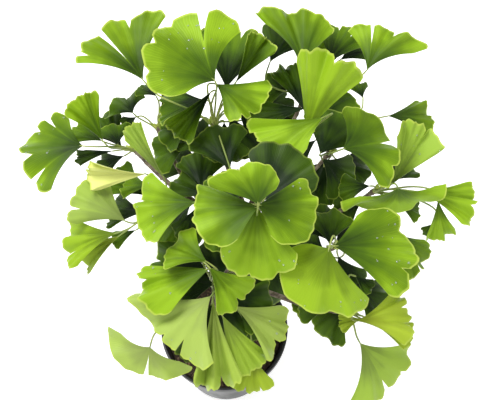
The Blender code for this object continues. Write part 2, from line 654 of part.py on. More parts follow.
def blade(name, leaf_, collection):
    """One fan-shaped blade: a flat grid moved to the leaf's surface, then thickened."""
    points = blade_grid(leaf_)
    rows, columns = points.shape[:2]
    shape = bmesh.new()
    bmesh.ops.create_grid(shape, x_segments=columns - 1, y_segments=rows - 1, size=1.0)
    for vertex in shape.verts:
        column = round((vertex.co.x + 1) / 2 * (columns - 1))
        row = round((vertex.co.y + 1) / 2 * (rows - 1))
        vertex.co = points[row, column] * MM
    bmesh.ops.triangulate(shape, faces=shape.faces)
    mesh = bpy.data.meshes.new(name)
    shape.to_mesh(mesh)
    shape.free()
    thing = new_object(name, mesh, collection)
    thickness = thing.modifiers.new("Thickness", "SOLIDIFY")
    thickness.thickness = BLADE_THICKNESS * MM
    thickness.offset = 0.0
    return new_object(name, evaluated_mesh(thing), collection)


def fill_pockets(mesh):
    """Remove the inner skin of each sealed pocket, such as one between a stalk and its blade."""
    shape = bmesh.new()
    shape.from_mesh(mesh)
    waiting = set(shape.faces)
    pockets = []
    while waiting:
        skin = {waiting.pop()}
        edge_of_skin = list(skin)
        while edge_of_skin:
            face = edge_of_skin.pop()
            found = {other for edge in face.edges for other in edge.link_faces} & waiting
            waiting -= found
            skin |= found
            edge_of_skin += found
        volume = sum(face.calc_center_median().dot(face.normal) * face.calc_area() for face in skin)
        if volume < 0:
            pockets += skin
    bmesh.ops.delete(shape, geom=pockets, context="FACES")
    shape.to_mesh(mesh)
    shape.free()


def join_pieces(name, first, others, collection):
    """One body from pieces that run into each other."""
    pieces = bpy.data.collections.new("pieces")
    for piece in others:
        collection.objects.unlink(piece)
        pieces.objects.link(piece)
    union = first.modifiers.new("Union", "BOOLEAN")
    union.operation = "UNION"
    union.operand_type = "COLLECTION"
    union.collection = pieces
    union.solver = "MANIFOLD"
    mesh = evaluated_mesh(first)
    fill_pockets(mesh)
    for piece in list(pieces.objects):
        bpy.data.objects.remove(piece)
    bpy.data.collections.remove(pieces)
    mesh.materials.clear()
    return new_object(name, mesh, collection)


def turned(name, profile, steps, collection):
    """A solid turned about Z from a profile of (radius, height) points, outer side from the top down."""
    mesh = bpy.data.meshes.new(name)
    vertices = [(radius * MM, 0.0, height * MM) for radius, height in profile]
    mesh.from_pydata(vertices, [(i, i + 1) for i in range(len(vertices) - 1)], [])
    thing = new_object(name, mesh, collection)
    screw = thing.modifiers.new("Turn", "SCREW")
    screw.steps = screw.render_steps = steps
    screw.use_merge_vertices = True
    screw.merge_threshold = 0.00001
    screw.use_smooth_shade = False
    return thing


def make_pot(collection, cutters):
    profile = [
        (0.0, POT_FLOOR + POT_FOOT_RECESS),
        (POT_BASE_RADIUS - POT_WALL - 2.0, POT_FLOOR + POT_FOOT_RECESS),
        (POT_BASE_RADIUS - POT_WALL, POT_FLOOR + POT_FOOT_RECESS + 2.0),
        (POT_MOUTH_RADIUS - 2.2, POT_HEIGHT - POT_LIP_DEPTH),
        (POT_MOUTH_RADIUS - 0.4, POT_HEIGHT - 0.5),
        (POT_MOUTH_RADIUS + 0.6, POT_HEIGHT),
        (POT_RIM_RADIUS - 0.8, POT_HEIGHT - 0.2),
        (POT_RIM_RADIUS, POT_HEIGHT - 1.2),
        (POT_RIM_RADIUS - 0.6, POT_HEIGHT - POT_LIP_DEPTH),
        (POT_MOUTH_RADIUS - 0.6, POT_HEIGHT - POT_LIP_DEPTH - 1.0),
        (POT_BASE_RADIUS, 4.0),
        (POT_BASE_RADIUS - 1.5, 0.0),
        (POT_BASE_RADIUS - POT_FOOT_RING, 0.0),
        (POT_BASE_RADIUS - POT_FOOT_RING - 1.0, POT_FOOT_RECESS),
        (POT_FOOT_DISC + 1.0, POT_FOOT_RECESS),
        (POT_FOOT_DISC, 0.0),
        (0.0, 0.0),
    ]
    pot = turned("pot", profile, POT_STEPS, collection)
    pot.data.materials.append(new_material("black_plastic", (0.012, 0.012, 0.013), 0.38))
    holes = bpy.data.collections.new("drain_holes")
    cutters.children.link(holes)
    for index in range(DRAIN_HOLES):
        angle = math.tau * index / DRAIN_HOLES
        bpy.ops.mesh.primitive_cylinder_add(
            vertices=16, radius=DRAIN_HOLE_RADIUS * MM, depth=20 * MM,
            location=(DRAIN_HOLE_CIRCLE * MM * math.cos(angle), DRAIN_HOLE_CIRCLE * MM * math.sin(angle), 0.0))
        hole = bpy.context.object
        hole.name = f"drain_hole_{index + 1}"
        hole.hide_render = True
        hole.display_type = "WIRE"
        for owner in list(hole.users_collection):
            owner.objects.unlink(hole)
        holes.objects.link(hole)
    cut = pot.modifiers.new("Drain holes", "BOOLEAN")
    cut.operand_type = "COLLECTION"
    cut.collection = holes
    cut.operation = "DIFFERENCE"


def make_soil(collection):
    seat = TRUNK_FOOT_RADIUS + 0.6
    floor = POT_FLOOR + POT_FOOT_RECESS + GAP
    wall_slope = (POT_MOUTH_RADIUS - 2.2 - POT_BASE_RADIUS + POT_WALL) / (POT_HEIGHT - POT_LIP_DEPTH - floor)
    low_radius = POT_BASE_RADIUS - POT_WALL - 2 * GAP
    top_radius = low_radius + wall_slope * (SOIL_TOP - floor) - GAP
    profile = [
        (0.0, SOIL_TOP - TRUNK_SEAT_DEPTH),
        (seat, SOIL_TOP - TRUNK_SEAT_DEPTH),
        (seat, SOIL_TOP + SOIL_MOUND),
        (top_radius * 0.35, SOIL_TOP + SOIL_MOUND * 0.9),
        (top_radius * 0.62, SOIL_TOP + SOIL_MOUND * 0.4),
        (top_radius * 0.84, SOIL_TOP - 0.4),
        (top_radius, SOIL_TOP - 1.4),
        (low_radius, floor + 2.0),
        (low_radius - 2.2, floor),
        (0.0, floor),
    ]
    soil = turned("soil", profile, SOIL_STEPS, collection)
    soil.data.materials.append(new_material("potting_soil", (0.055, 0.036, 0.024), 0.95))


def make_wood(collection):
    line = trunk_line()
    radii = np.interp(np.linspace(0, 1, len(line)), (0, 0.2, 0.45, 1), (
        TRUNK_FOOT_RADIUS, TRUNK_FOOT_RADIUS, 5.4, TRUNK_TOP_RADIUS))
    knots = 1 + 0.05 * np.sin(np.arange(len(line)) * 2.1)
    knots[:5] = 1
    trunk = tube("trunk", line, radii * knots, collection, resolution=2)
    branches = []
    for name, spray_ in SPRAYS.items():
        way = branch_line(spray_)
        thick = np.linspace(BRANCH_START_RADIUS, BRANCH_END_RADIUS, len(way))
        thick[-2:] = BRANCH_END_RADIUS
        branches.append(tube(name, way, thick, collection, resolution=1))
    wood = join_pieces("trunk_and_branches", trunk, branches, collection)
    wood.data.materials.append(new_material("bark", (0.16, 0.13, 0.095), 0.85))


def make_spray(name, leaves, collection):
    joint, direction = twig_line(SPRAYS[name])
    places = np.array((GAP, 5.0, TWIG_LENGTH - 7.0, TWIG_LENGTH - 3.0, TWIG_LENGTH + 1.5))
    way = joint + places[:, None] * direction
    twig = tube(name, way, (BRANCH_END_RADIUS, BRANCH_END_RADIUS, 2.0, 2.7, 1.8), collection, resolution=1)
    pieces = []
    for leaf_, line in leaves:
        thick = np.interp(np.arange(len(line)), (0, 1, len(line) - 1), (1.3, 1, 0.75)) * PETIOLE_RADIUS
        pieces.append(tube("stalk", line, thick, collection, twist=STALK_TWIST))
        pieces.append(blade("blade", leaf_, collection))
    return join_pieces(name, twig, pieces, collection)


def make_sprays(collection):
    settled = settle_leaves()
    for name in SPRAYS:
        leaves = [(leaf_, line) for owner, leaf_, line in settled if owner == name]
        whole = make_spray(name, leaves, collection)
        whole.data.materials.append(new_material(name + "_green", (0.19, 0.36, 0.035), 0.45))


def build():
    for thing in list(bpy.data.objects):
        bpy.data.objects.remove(thing)
    collection = bpy.data.collections.new("ginkgo_bonsai")
    cutters = bpy.data.collections.new("cutters")
    bpy.context.scene.collection.children.link(collection)
    bpy.context.scene.collection.children.link(cutters)
    make_sprays(collection)
    make_wood(collection)
    make_soil(collection)
    make_pot(collection, cutters)


build()
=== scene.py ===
# A young ginkgo bonsai in a thin black nursery pot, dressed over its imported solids.
# Sizes are in millimetres unless a name says otherwise, and become metres in the meshes.
import json
import math
from collections import namedtuple

import bmesh
import bpy
import numpy as np
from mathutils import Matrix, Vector
from mathutils.bvhtree import BVHTree

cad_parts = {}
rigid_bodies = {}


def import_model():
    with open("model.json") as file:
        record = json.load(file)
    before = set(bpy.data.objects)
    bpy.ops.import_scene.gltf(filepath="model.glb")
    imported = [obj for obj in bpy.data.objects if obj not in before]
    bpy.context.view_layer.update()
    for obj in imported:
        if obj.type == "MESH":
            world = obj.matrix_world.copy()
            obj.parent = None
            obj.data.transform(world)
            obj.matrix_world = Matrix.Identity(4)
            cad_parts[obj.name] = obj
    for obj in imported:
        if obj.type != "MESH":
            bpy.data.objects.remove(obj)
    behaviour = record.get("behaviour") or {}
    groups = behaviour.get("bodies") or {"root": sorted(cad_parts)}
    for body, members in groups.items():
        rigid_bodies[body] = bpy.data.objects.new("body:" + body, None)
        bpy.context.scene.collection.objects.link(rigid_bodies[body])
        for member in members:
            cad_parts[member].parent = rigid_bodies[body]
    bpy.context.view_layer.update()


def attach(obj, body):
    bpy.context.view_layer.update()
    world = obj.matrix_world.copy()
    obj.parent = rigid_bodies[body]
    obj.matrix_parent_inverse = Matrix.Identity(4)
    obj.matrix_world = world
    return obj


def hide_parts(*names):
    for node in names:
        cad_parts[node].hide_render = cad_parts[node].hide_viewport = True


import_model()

MM = 0.001

# The photographer's view
# The plant is photographed from the front and well above it, with a long lens. The pot's rim
# is the known circle: its place and size in the picture give the camera's place.
PICTURE_CENTRE = (250.0, 200.0)
FOCAL_PIXELS = 1000.0
VIEW_ANGLE = math.radians(64.0)
POT_HEIGHT = 100.0
POT_RIM_RADIUS = 60.0
RIM_PIXEL = (224.5, 328.0)
RIM_PIXEL_RADIUS = 63.3
SENSOR_WIDTH = 36.0
PICTURE_WIDTH = 500.0
VIEW_RIGHT = np.array((1.0, 0.0, 0.0))
VIEW_UP = np.array((0.0, math.sin(VIEW_ANGLE), math.cos(VIEW_ANGLE)))
VIEW_AHEAD = np.array((0.0, math.cos(VIEW_ANGLE), -math.sin(VIEW_ANGLE)))


def picture_ray(column, row):
    """Direction, one unit deep, from the camera through a pixel."""
    across = (column - PICTURE_CENTRE[0]) / FOCAL_PIXELS
    upward = (PICTURE_CENTRE[1] - row) / FOCAL_PIXELS
    return VIEW_AHEAD + across * VIEW_RIGHT + upward * VIEW_UP


RIM_DISTANCE = FOCAL_PIXELS * POT_RIM_RADIUS / RIM_PIXEL_RADIUS
CAMERA = np.array((0.0, 0.0, POT_HEIGHT)) - RIM_DISTANCE * picture_ray(*RIM_PIXEL)


def seen(column, row, height):
    """Place, in mm, of the point seen at a pixel when it is this high above the pot's foot."""
    ray = picture_ray(column, row)
    return CAMERA + ray * (height - CAMERA[2]) / ray[2]


camera_data = bpy.data.cameras.new("camera")
camera_data.sensor_width = SENSOR_WIDTH
camera_data.lens = SENSOR_WIDTH * FOCAL_PIXELS / PICTURE_WIDTH
camera_data.clip_start = 0.05
camera_data.clip_end = 20.0
camera = bpy.data.objects.new("camera", camera_data)
camera.location = CAMERA * MM
camera.rotation_euler = (math.pi / 2 - VIEW_ANGLE, 0.0, 0.0)
bpy.context.scene.collection.objects.link(camera)
bpy.context.scene.camera = camera


# Pot
# A thin vacuum-formed nursery pot of black plastic. Its flat lip turns over outwards, its wall
# tapers to a foot ring, and six drain holes are punched round the floor.
POT_MOUTH_RADIUS = 57.6
POT_BASE_RADIUS = 43.0
POT_WALL = 1.6
POT_FLOOR = 2.4
POT_LIP_DEPTH = 9.0
POT_FOOT_RECESS = 1.6
POT_FOOT_RING = 7.0
POT_FOOT_DISC = 16.0
CORNER_ROUNDS = (0, 2.0, 1.0, 0.9, 0.9, 0.4, 0.4, 2.0, 1.5, 0.4, 0.4, 0.4, 0.4, 0)
POT_STEPS = 128
DRAIN_HOLES = 6
DRAIN_HOLE_RADIUS = 4.0
DRAIN_HOLE_CIRCLE = 25.5
DRAIN_HOLE_SIDES = 32
PUNCH_LENGTH = 20.0
POT_BLACK = (0.011, 0.012, 0.013)
POT_DUST = (0.026, 0.027, 0.027)


def new_piece(name, mesh):
    thing = bpy.data.objects.new(name, mesh)
    bpy.context.scene.collection.objects.link(thing)
    return thing


def made_plain(thing):
    """The object with its modifiers applied, as a plain mesh of the same name."""
    bpy.context.view_layer.update()
    graph = bpy.context.evaluated_depsgraph_get()
    mesh = bpy.data.meshes.new_from_object(thing.evaluated_get(graph))
    name = thing.name
    bpy.data.objects.remove(thing)
    return new_piece(name, mesh)


def finish_piece(thing, nodes=()):
    """Rides on the one body and stands for the nodes it dresses."""
    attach(thing, "root")
    if nodes:
        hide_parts(*nodes)


def add_node(tree, kind, **inputs):
    """A shader or geometry node with its plain settings and its sockets' values set by name."""
    node = tree.nodes.new(kind)
    for name, value in inputs.items():
        label = name.replace("_", " ")
        if label in node.inputs:
            node.inputs[label].default_value = value
        else:
            setattr(node, name, value)
    return node


def new_finish(name, roughness):
    material = bpy.data.materials.new(name)
    material.use_nodes = True
    tree = material.node_tree
    shader = tree.nodes["Principled BSDF"]
    shader.inputs["Roughness"].default_value = roughness
    return material, tree, shader


def object_noise(tree, scale, detail=4.0, stretch=(1.0, 1.0, 1.0)):
    """Noise value fixed to the piece, with this many grains to a metre."""
    place = add_node(tree, "ShaderNodeTexCoord")
    mapping = add_node(tree, "ShaderNodeMapping", Scale=stretch)
    noise = add_node(tree, "ShaderNodeTexNoise", Scale=scale, Detail=detail)
    tree.links.new(place.outputs["Object"], mapping.inputs["Vector"])
    tree.links.new(mapping.outputs["Vector"], noise.inputs["Vector"])
    return noise.outputs["Fac"]


def ramp(tree, value, stops):
    """Colours along a value, as (place, (red, green, blue)) stops."""
    node = add_node(tree, "ShaderNodeValToRGB")
    band = node.color_ramp
    while len(band.elements) < len(stops):
        band.elements.new(0.5)
    for element, (place, colour) in zip(band.elements, stops):
        element.position = place
        element.color = (*colour, 1.0)
    tree.links.new(value, node.inputs["Fac"])
    return node.outputs["Color"]


def bump(tree, shader, height, distance_mm, strength=1.0):
    node = add_node(tree, "ShaderNodeBump", Strength=strength, Distance=distance_mm * MM)
    tree.links.new(height, node.inputs["Height"])
    tree.links.new(node.outputs["Normal"], shader.inputs["Normal"])


def black_plastic():
    material, tree, shader = new_finish("black_plastic_finish", 0.36)
    shader.inputs["Specular IOR Level"].default_value = 0.4
    dust = object_noise(tree, 55.0, stretch=(1.0, 1.0, 0.35))
    tree.links.new(ramp(tree, dust, ((0.35, POT_BLACK), (0.75, POT_DUST))),
                   shader.inputs["Base Color"])
    rough = ramp(tree, dust, ((0.3, (0.30, 0.30, 0.30)), (0.75, (0.5, 0.5, 0.5))))
    tree.links.new(rough, shader.inputs["Roughness"])
    bump(tree, shader, object_noise(tree, 900.0, 2.0), 0.05, 0.5)
    return material


def turned(name, profile, steps):
    """A solid turned about Z from (radius, height) points, outer side from the top down."""
    mesh = bpy.data.meshes.new(name)
    vertices = [(radius * MM, 0.0, height * MM) for radius, height in profile]
    mesh.from_pydata(vertices, [(i, i + 1) for i in range(len(vertices) - 1)], [])
    thing = new_piece(name, mesh)
    screw = thing.modifiers.new("Turn", "SCREW")
    screw.steps = screw.render_steps = steps
    screw.use_merge_vertices = True
    screw.merge_threshold = 0.00001
    screw.use_smooth_shade = True
    return thing


def round_corner(before, corner, after, radius, count=5):
    """Points of a small round in place of a sharp corner of a profile."""
    before, corner, after = (np.array(point) for point in (before, corner, after))
    start = corner + (before - corner) / np.linalg.norm(before - corner) * radius
    end = corner + (after - corner) / np.linalg.norm(after - corner) * radius
    t = np.linspace(0, 1, count)[:, None]
    curve = start * (1 - t) ** 2 + 2 * corner * t * (1 - t) + end * t ** 2
    return [tuple(point) for point in curve]


floor_height = POT_FLOOR + POT_FOOT_RECESS
pot_corners = [
    (0.0, floor_height),
    (POT_BASE_RADIUS - POT_WALL, floor_height),
    (POT_MOUTH_RADIUS - 2.2, POT_HEIGHT - POT_LIP_DEPTH),
    (POT_MOUTH_RADIUS + 0.1, POT_HEIGHT),
    (POT_RIM_RADIUS, POT_HEIGHT - 0.3),
    (POT_RIM_RADIUS - 0.6, POT_HEIGHT - POT_LIP_DEPTH),
    (POT_MOUTH_RADIUS - 0.6, POT_HEIGHT - POT_LIP_DEPTH - 1.0),
    (POT_BASE_RADIUS + 0.5, 5.0),
    (POT_BASE_RADIUS - 1.0, 0.0),
    (POT_BASE_RADIUS - POT_FOOT_RING, 0.0),
    (POT_BASE_RADIUS - POT_FOOT_RING - 1.0, POT_FOOT_RECESS),
    (POT_FOOT_DISC + 1.0, POT_FOOT_RECESS),
    (POT_FOOT_DISC, 0.0),
    (0.0, 0.0),
]
pot_profile = [pot_corners[0]]
for index in range(1, len(pot_corners) - 1):
    pot_profile += round_corner(*pot_corners[index - 1:index + 2], CORNER_ROUNDS[index])
pot_profile.append(pot_corners[-1])
pot_shell = turned("pot_shell", pot_profile, POT_STEPS)
drain_holes = bpy.data.collections.new("drain_holes")
bpy.context.scene.collection.children.link(drain_holes)
for index in range(DRAIN_HOLES):
    angle = math.tau * index / DRAIN_HOLES
    circle = DRAIN_HOLE_CIRCLE * MM
    bpy.ops.mesh.primitive_cylinder_add(
        vertices=DRAIN_HOLE_SIDES, radius=DRAIN_HOLE_RADIUS * MM, depth=PUNCH_LENGTH * MM,
        location=(circle * math.cos(angle), circle * math.sin(angle), 0.0))
    punch = bpy.context.object
    for owner in list(punch.users_collection):
        owner.objects.unlink(punch)
    drain_holes.objects.link(punch)
punched = pot_shell.modifiers.new("Drain holes", "BOOLEAN")
punched.operand_type = "COLLECTION"
punched.collection = drain_holes
punched.operation = "DIFFERENCE"
pot_shell = made_plain(pot_shell)
for punch in list(drain_holes.objects):
    bpy.data.objects.remove(punch)
bpy.data.collections.remove(drain_holes)
pot_shell.data.materials.clear()
pot_shell.data.materials.append(black_plastic())
pot_shell.data.set_sharp_from_angle(angle=math.radians(40))
finish_piece(pot_shell, ["pot"])


# Soil
# Dark peat with bits of bark and grit, filled to a little under the lip and slightly heaped
# round the trunk. It is one crumbly mass in the pot, with loose crumbs lying on its top.
SOIL_TOP = 86.0
SOIL_MOUND = 3.0
SOIL_RADIUS = 53.7
SOIL_EYE_RADIUS = 0.4
SOIL_FOOT = ((40.8, 2.0), (38.6, 0.3))  # radius, height over the pot's floor
SOIL_RINGS = 40
SOIL_STEPS = 96
TRUNK_SEAT_DEPTH = 26.0
TRUNK_FOOT_RADIUS = 7.0
CRUMBS_PER_SQUARE_METRE = 190000.0
CRUMB_SIZES = (0.5, 1.7)
CRUMB_SHAPES = ((0.5, 0.6, 0.35), (1.3, 1.0, 0.8))
CRUMB_SEED = 7
CRUMB_LIFT = 0.4
CRUMB_SINK = 0.2


def mottled_finish(name, roughness, grain, stops, relief_mm=0.0, strength=1.0, relief=None):
    """A finish whose colour follows a noise, and whose relief follows it or a noise of its own."""
    material, tree, shader = new_finish(name, roughness)
    noise = object_noise(tree, *grain)
    tree.links.new(ramp(tree, noise, stops), shader.inputs["Base Color"])
    if relief_mm:
        height = object_noise(tree, *relief) if relief else noise
        bump(tree, shader, height, relief_mm, strength)
    return material


def mesh_piece(name, points, faces):
    """A piece from points in mm and the faces between them."""
    mesh = bpy.data.meshes.new(name)
    mesh.from_pydata((np.asarray(points) * MM).tolist(), [], faces)
    return new_piece(name, mesh)


def smooth_piece(name, points, faces, finish):
    piece = mesh_piece(name, points, faces)
    piece.data.polygons.foreach_set("use_smooth", [True] * len(faces))
    piece.data.materials.append(finish)
    return piece


def soil_height(radius, angle):
    """Height of the soil's top, uneven by a fixed sum of waves."""
    share = radius / SOIL_RADIUS
    mound = SOIL_MOUND * np.cos(np.clip(share, 0, 1) * math.pi / 2) ** 1.3
    x, y = radius * np.cos(angle), radius * np.sin(angle)
    waves = 0.5 * np.sin(0.31 * x + 1.1) * np.cos(0.27 * y) + 0.35 * np.sin(0.83 * x + 0.6 * y)
    waves += 0.22 * np.sin(1.9 * x - 1.3 * y) + 0.15 * np.cos(2.7 * y + 1.6 * x)
    return SOIL_TOP + mound - 1.4 * share ** 6 + waves * (1 - share ** 4) - 0.3


soil_turns = np.linspace(0, math.tau, SOIL_STEPS, endpoint=False)
soil_rings = [[(radius, turn, soil_height(radius, turn)) for turn in soil_turns]
              for radius in np.linspace(SOIL_EYE_RADIUS, SOIL_RADIUS, SOIL_RINGS)]
soil_rings += [[(radius, turn, floor_height + rise) for turn in soil_turns]
               for radius, rise in SOIL_FOOT]
soil_points = [(radius * math.cos(turn), radius * math.sin(turn), height)
               for ring in soil_rings for radius, turn, height in ring]
soil_faces = [tuple(range(SOIL_STEPS))]
for ring in range(len(soil_rings) - 1):
    for turn in range(SOIL_STEPS):
        a, b = ring * SOIL_STEPS + turn, ring * SOIL_STEPS + (turn + 1) % SOIL_STEPS
        soil_faces.append((a, a + SOIL_STEPS, b + SOIL_STEPS, b))
bottom = (len(soil_rings) - 1) * SOIL_STEPS
soil_faces.append(tuple(bottom + turn for turn in reversed(range(SOIL_STEPS))))
peat = mottled_finish("peat_finish", 0.95, (420.0, 6.0), (
    (0.3, (0.012, 0.008, 0.005)), (0.55, (0.05, 0.032, 0.02)), (0.8, (0.14, 0.09, 0.055))), 1.2)
finish_piece(smooth_piece("soil_bed", soil_points, soil_faces, peat), ["soil"])


def new_geometry_tree(name, sizes):
    """An empty Geometry Nodes tree with a geometry in and out and named inputs for its sizes."""
    tree = bpy.data.node_groups.new(name, "GeometryNodeTree")
    tree.interface.new_socket("Geometry", in_out="INPUT", socket_type="NodeSocketGeometry")
    for label, (kind, value) in sizes.items():
        socket = tree.interface.new_socket(label, in_out="INPUT", socket_type=kind)
        socket.default_value = value
    tree.interface.new_socket("Geometry", in_out="OUTPUT", socket_type="NodeSocketGeometry")
    return tree, tree.nodes.new("NodeGroupInput"), tree.nodes.new("NodeGroupOutput")


def set_inputs(modifier, values):
    """Sets a modifier's inputs by the identifiers of their sockets."""
    for item in modifier.node_group.interface.items_tree:
        if item.item_type == "SOCKET" and item.in_out == "INPUT" and item.name in values:
            modifier[item.identifier] = values[item.name]


def pass_on(tree, *nodes):
    """Links each node's geometry to the next node."""
    for before, after in zip(nodes, nodes[1:]):
        tree.links.new(before.outputs[0], after.inputs[0])


def scatter_tree(name, finish, subdivisions, smallest_shape, largest_shape, standing):
    """Scatters small grains over a surface, tumbled or, as drops do, standing on it smoothly."""
    sizes = {"Density": ("NodeSocketFloat", 1000.0), "Smallest": ("NodeSocketFloat", 0.5),
             "Largest": ("NodeSocketFloat", 1.5), "Seed": ("NodeSocketInt", 0)}
    tree, given, result = new_geometry_tree(name, sizes)
    scatter = add_node(tree, "GeometryNodeDistributePointsOnFaces", distribute_method="RANDOM")
    grain = add_node(tree, "GeometryNodeMeshIcoSphere", Radius=MM, Subdivisions=subdivisions)
    size = add_node(tree, "FunctionNodeRandomValue", data_type="FLOAT")
    turn = add_node(tree, "FunctionNodeRandomValue", data_type="FLOAT_VECTOR", Max=(math.tau,) * 3)
    shape = add_node(tree, "FunctionNodeRandomValue", data_type="FLOAT_VECTOR",
                     Min=smallest_shape, Max=largest_shape)
    scaled = add_node(tree, "ShaderNodeVectorMath", operation="SCALE")
    place = add_node(tree, "GeometryNodeInstanceOnPoints")
    rotation = scatter.outputs["Rotation"] if standing else turn.outputs[0]
    for source, target in (
            (given.outputs["Density"], scatter.inputs["Density"]),
            (given.outputs["Seed"], scatter.inputs["Seed"]),
            (given.outputs["Seed"], size.inputs["Seed"]),
            (given.outputs["Smallest"], size.inputs[2]),
            (given.outputs["Largest"], size.inputs[3]),
            (shape.outputs[0], scaled.inputs[0]),
            (size.outputs[1], scaled.inputs["Scale"]),
            (grain.outputs["Mesh"], place.inputs["Instance"]),
            (rotation, place.inputs["Rotation"]),
            (scaled.outputs["Vector"], place.inputs["Scale"])):
        tree.links.new(source, target)
    steps = [given, scatter, place, add_node(tree, "GeometryNodeRealizeInstances")]
    if standing:
        steps.append(add_node(tree, "GeometryNodeSetShadeSmooth"))
    pass_on(tree, *steps, add_node(tree, "GeometryNodeSetMaterial", Material=finish), result)
    return tree


def scattered(piece, tree, density, sizes, seed):
    """The piece's faces replaced by the grains that a tree scatters over them."""
    modifier = piece.modifiers.new("Scatter", "NODES")
    modifier.node_group = tree
    set_inputs(modifier, {"Density": density, "Smallest": sizes[0], "Largest": sizes[1],
                          "Seed": seed})
    return made_plain(piece)


crumb_ground = bpy.data.meshes.new("soil_crumbs")
disc = bmesh.new()
bmesh.ops.create_circle(disc, cap_ends=True, radius=(SOIL_RADIUS - 2.0) * MM, segments=64)
bmesh.ops.translate(disc, verts=disc.verts, vec=(0.0, 0.0, (SOIL_TOP + CRUMB_LIFT) * MM))
disc.to_mesh(crumb_ground)
disc.free()
crumb_coat = mottled_finish("crumb_finish", 0.9, (260.0, 1.0), (
    (0.3, (0.02, 0.012, 0.008)), (0.5, (0.07, 0.042, 0.024)), (0.7, (0.2, 0.13, 0.075))),
    0.2, relief=(1500.0, 3.0))
soil_crumbs = scattered(
    new_piece("soil_crumbs", crumb_ground),
    scatter_tree("soil_crumbs", crumb_coat, 1, *CRUMB_SHAPES, standing=False),
    CRUMBS_PER_SQUARE_METRE, CRUMB_SIZES, CRUMB_SEED)
crumb_points = np.empty(len(soil_crumbs.data.vertices) * 3)
soil_crumbs.data.vertices.foreach_get("co", crumb_points)
crumb_points = crumb_points.reshape(-1, 3)
out = np.hypot(crumb_points[:, 0], crumb_points[:, 1]) / MM
turn = np.arctan2(crumb_points[:, 1], crumb_points[:, 0])
crumb_points[:, 2] += (soil_height(out, turn) - SOIL_TOP - CRUMB_SINK) * MM
soil_crumbs.data.vertices.foreach_set("co", crumb_points.ravel())
finish_piece(soil_crumbs)


# Trunk and branches
# One upright trunk of grey-brown bark, bent a little as it grew and leaning slightly back, with
# branches that rise to the spurs. Each spray has its hub and how far up the trunk it starts.
TRUNK_TOP_RADIUS = 4.0
TRUNK_SIDES, TRUNK_ROUGHNESS = 36, 0.035
BRANCH_START_RADIUS = 2.9
BRANCH_END_RADIUS = 1.7
BRANCH_SIDES, BRANCH_ROUGHNESS = 20, 0.03
TWIG_LENGTH = 15.0
TWIG_RISE = 22.0
# A leaf's foot and tip, like a hub, are a column and a row in the photograph and a height in mm
# that is judged; then come the fan's half angles, left and right, and its other angles, all in
# degrees. Light, pale and yellow are for leaves that the photograph shows unlike others as high.
# Light is the leaf's lightness with painted light and shade in it; pale is partly its own paler
# colour and partly a painted sheen.
Leaf = namedtuple("Leaf", "foot tip spread roll cup droop reach clefts flare ripple "
                          "light pale yellow wet")
Spray = namedtuple("Spray", "hub start leaves")


def leaf(foot, tip, spread, roll=0, cup=0, droop=15, reach=(0.95, 0.95), clefts=(), flare=0.55,
         ripple=4, light=None, pale=0, yellow=0, wet=False):
    return Leaf(seen(*foot), seen(*tip), spread, roll, cup, droop, reach, clefts, flare, ripple,
                light, pale, yellow, wet)


def spray(hub, start, leaves):
    return Spray(seen(*hub), start, leaves)


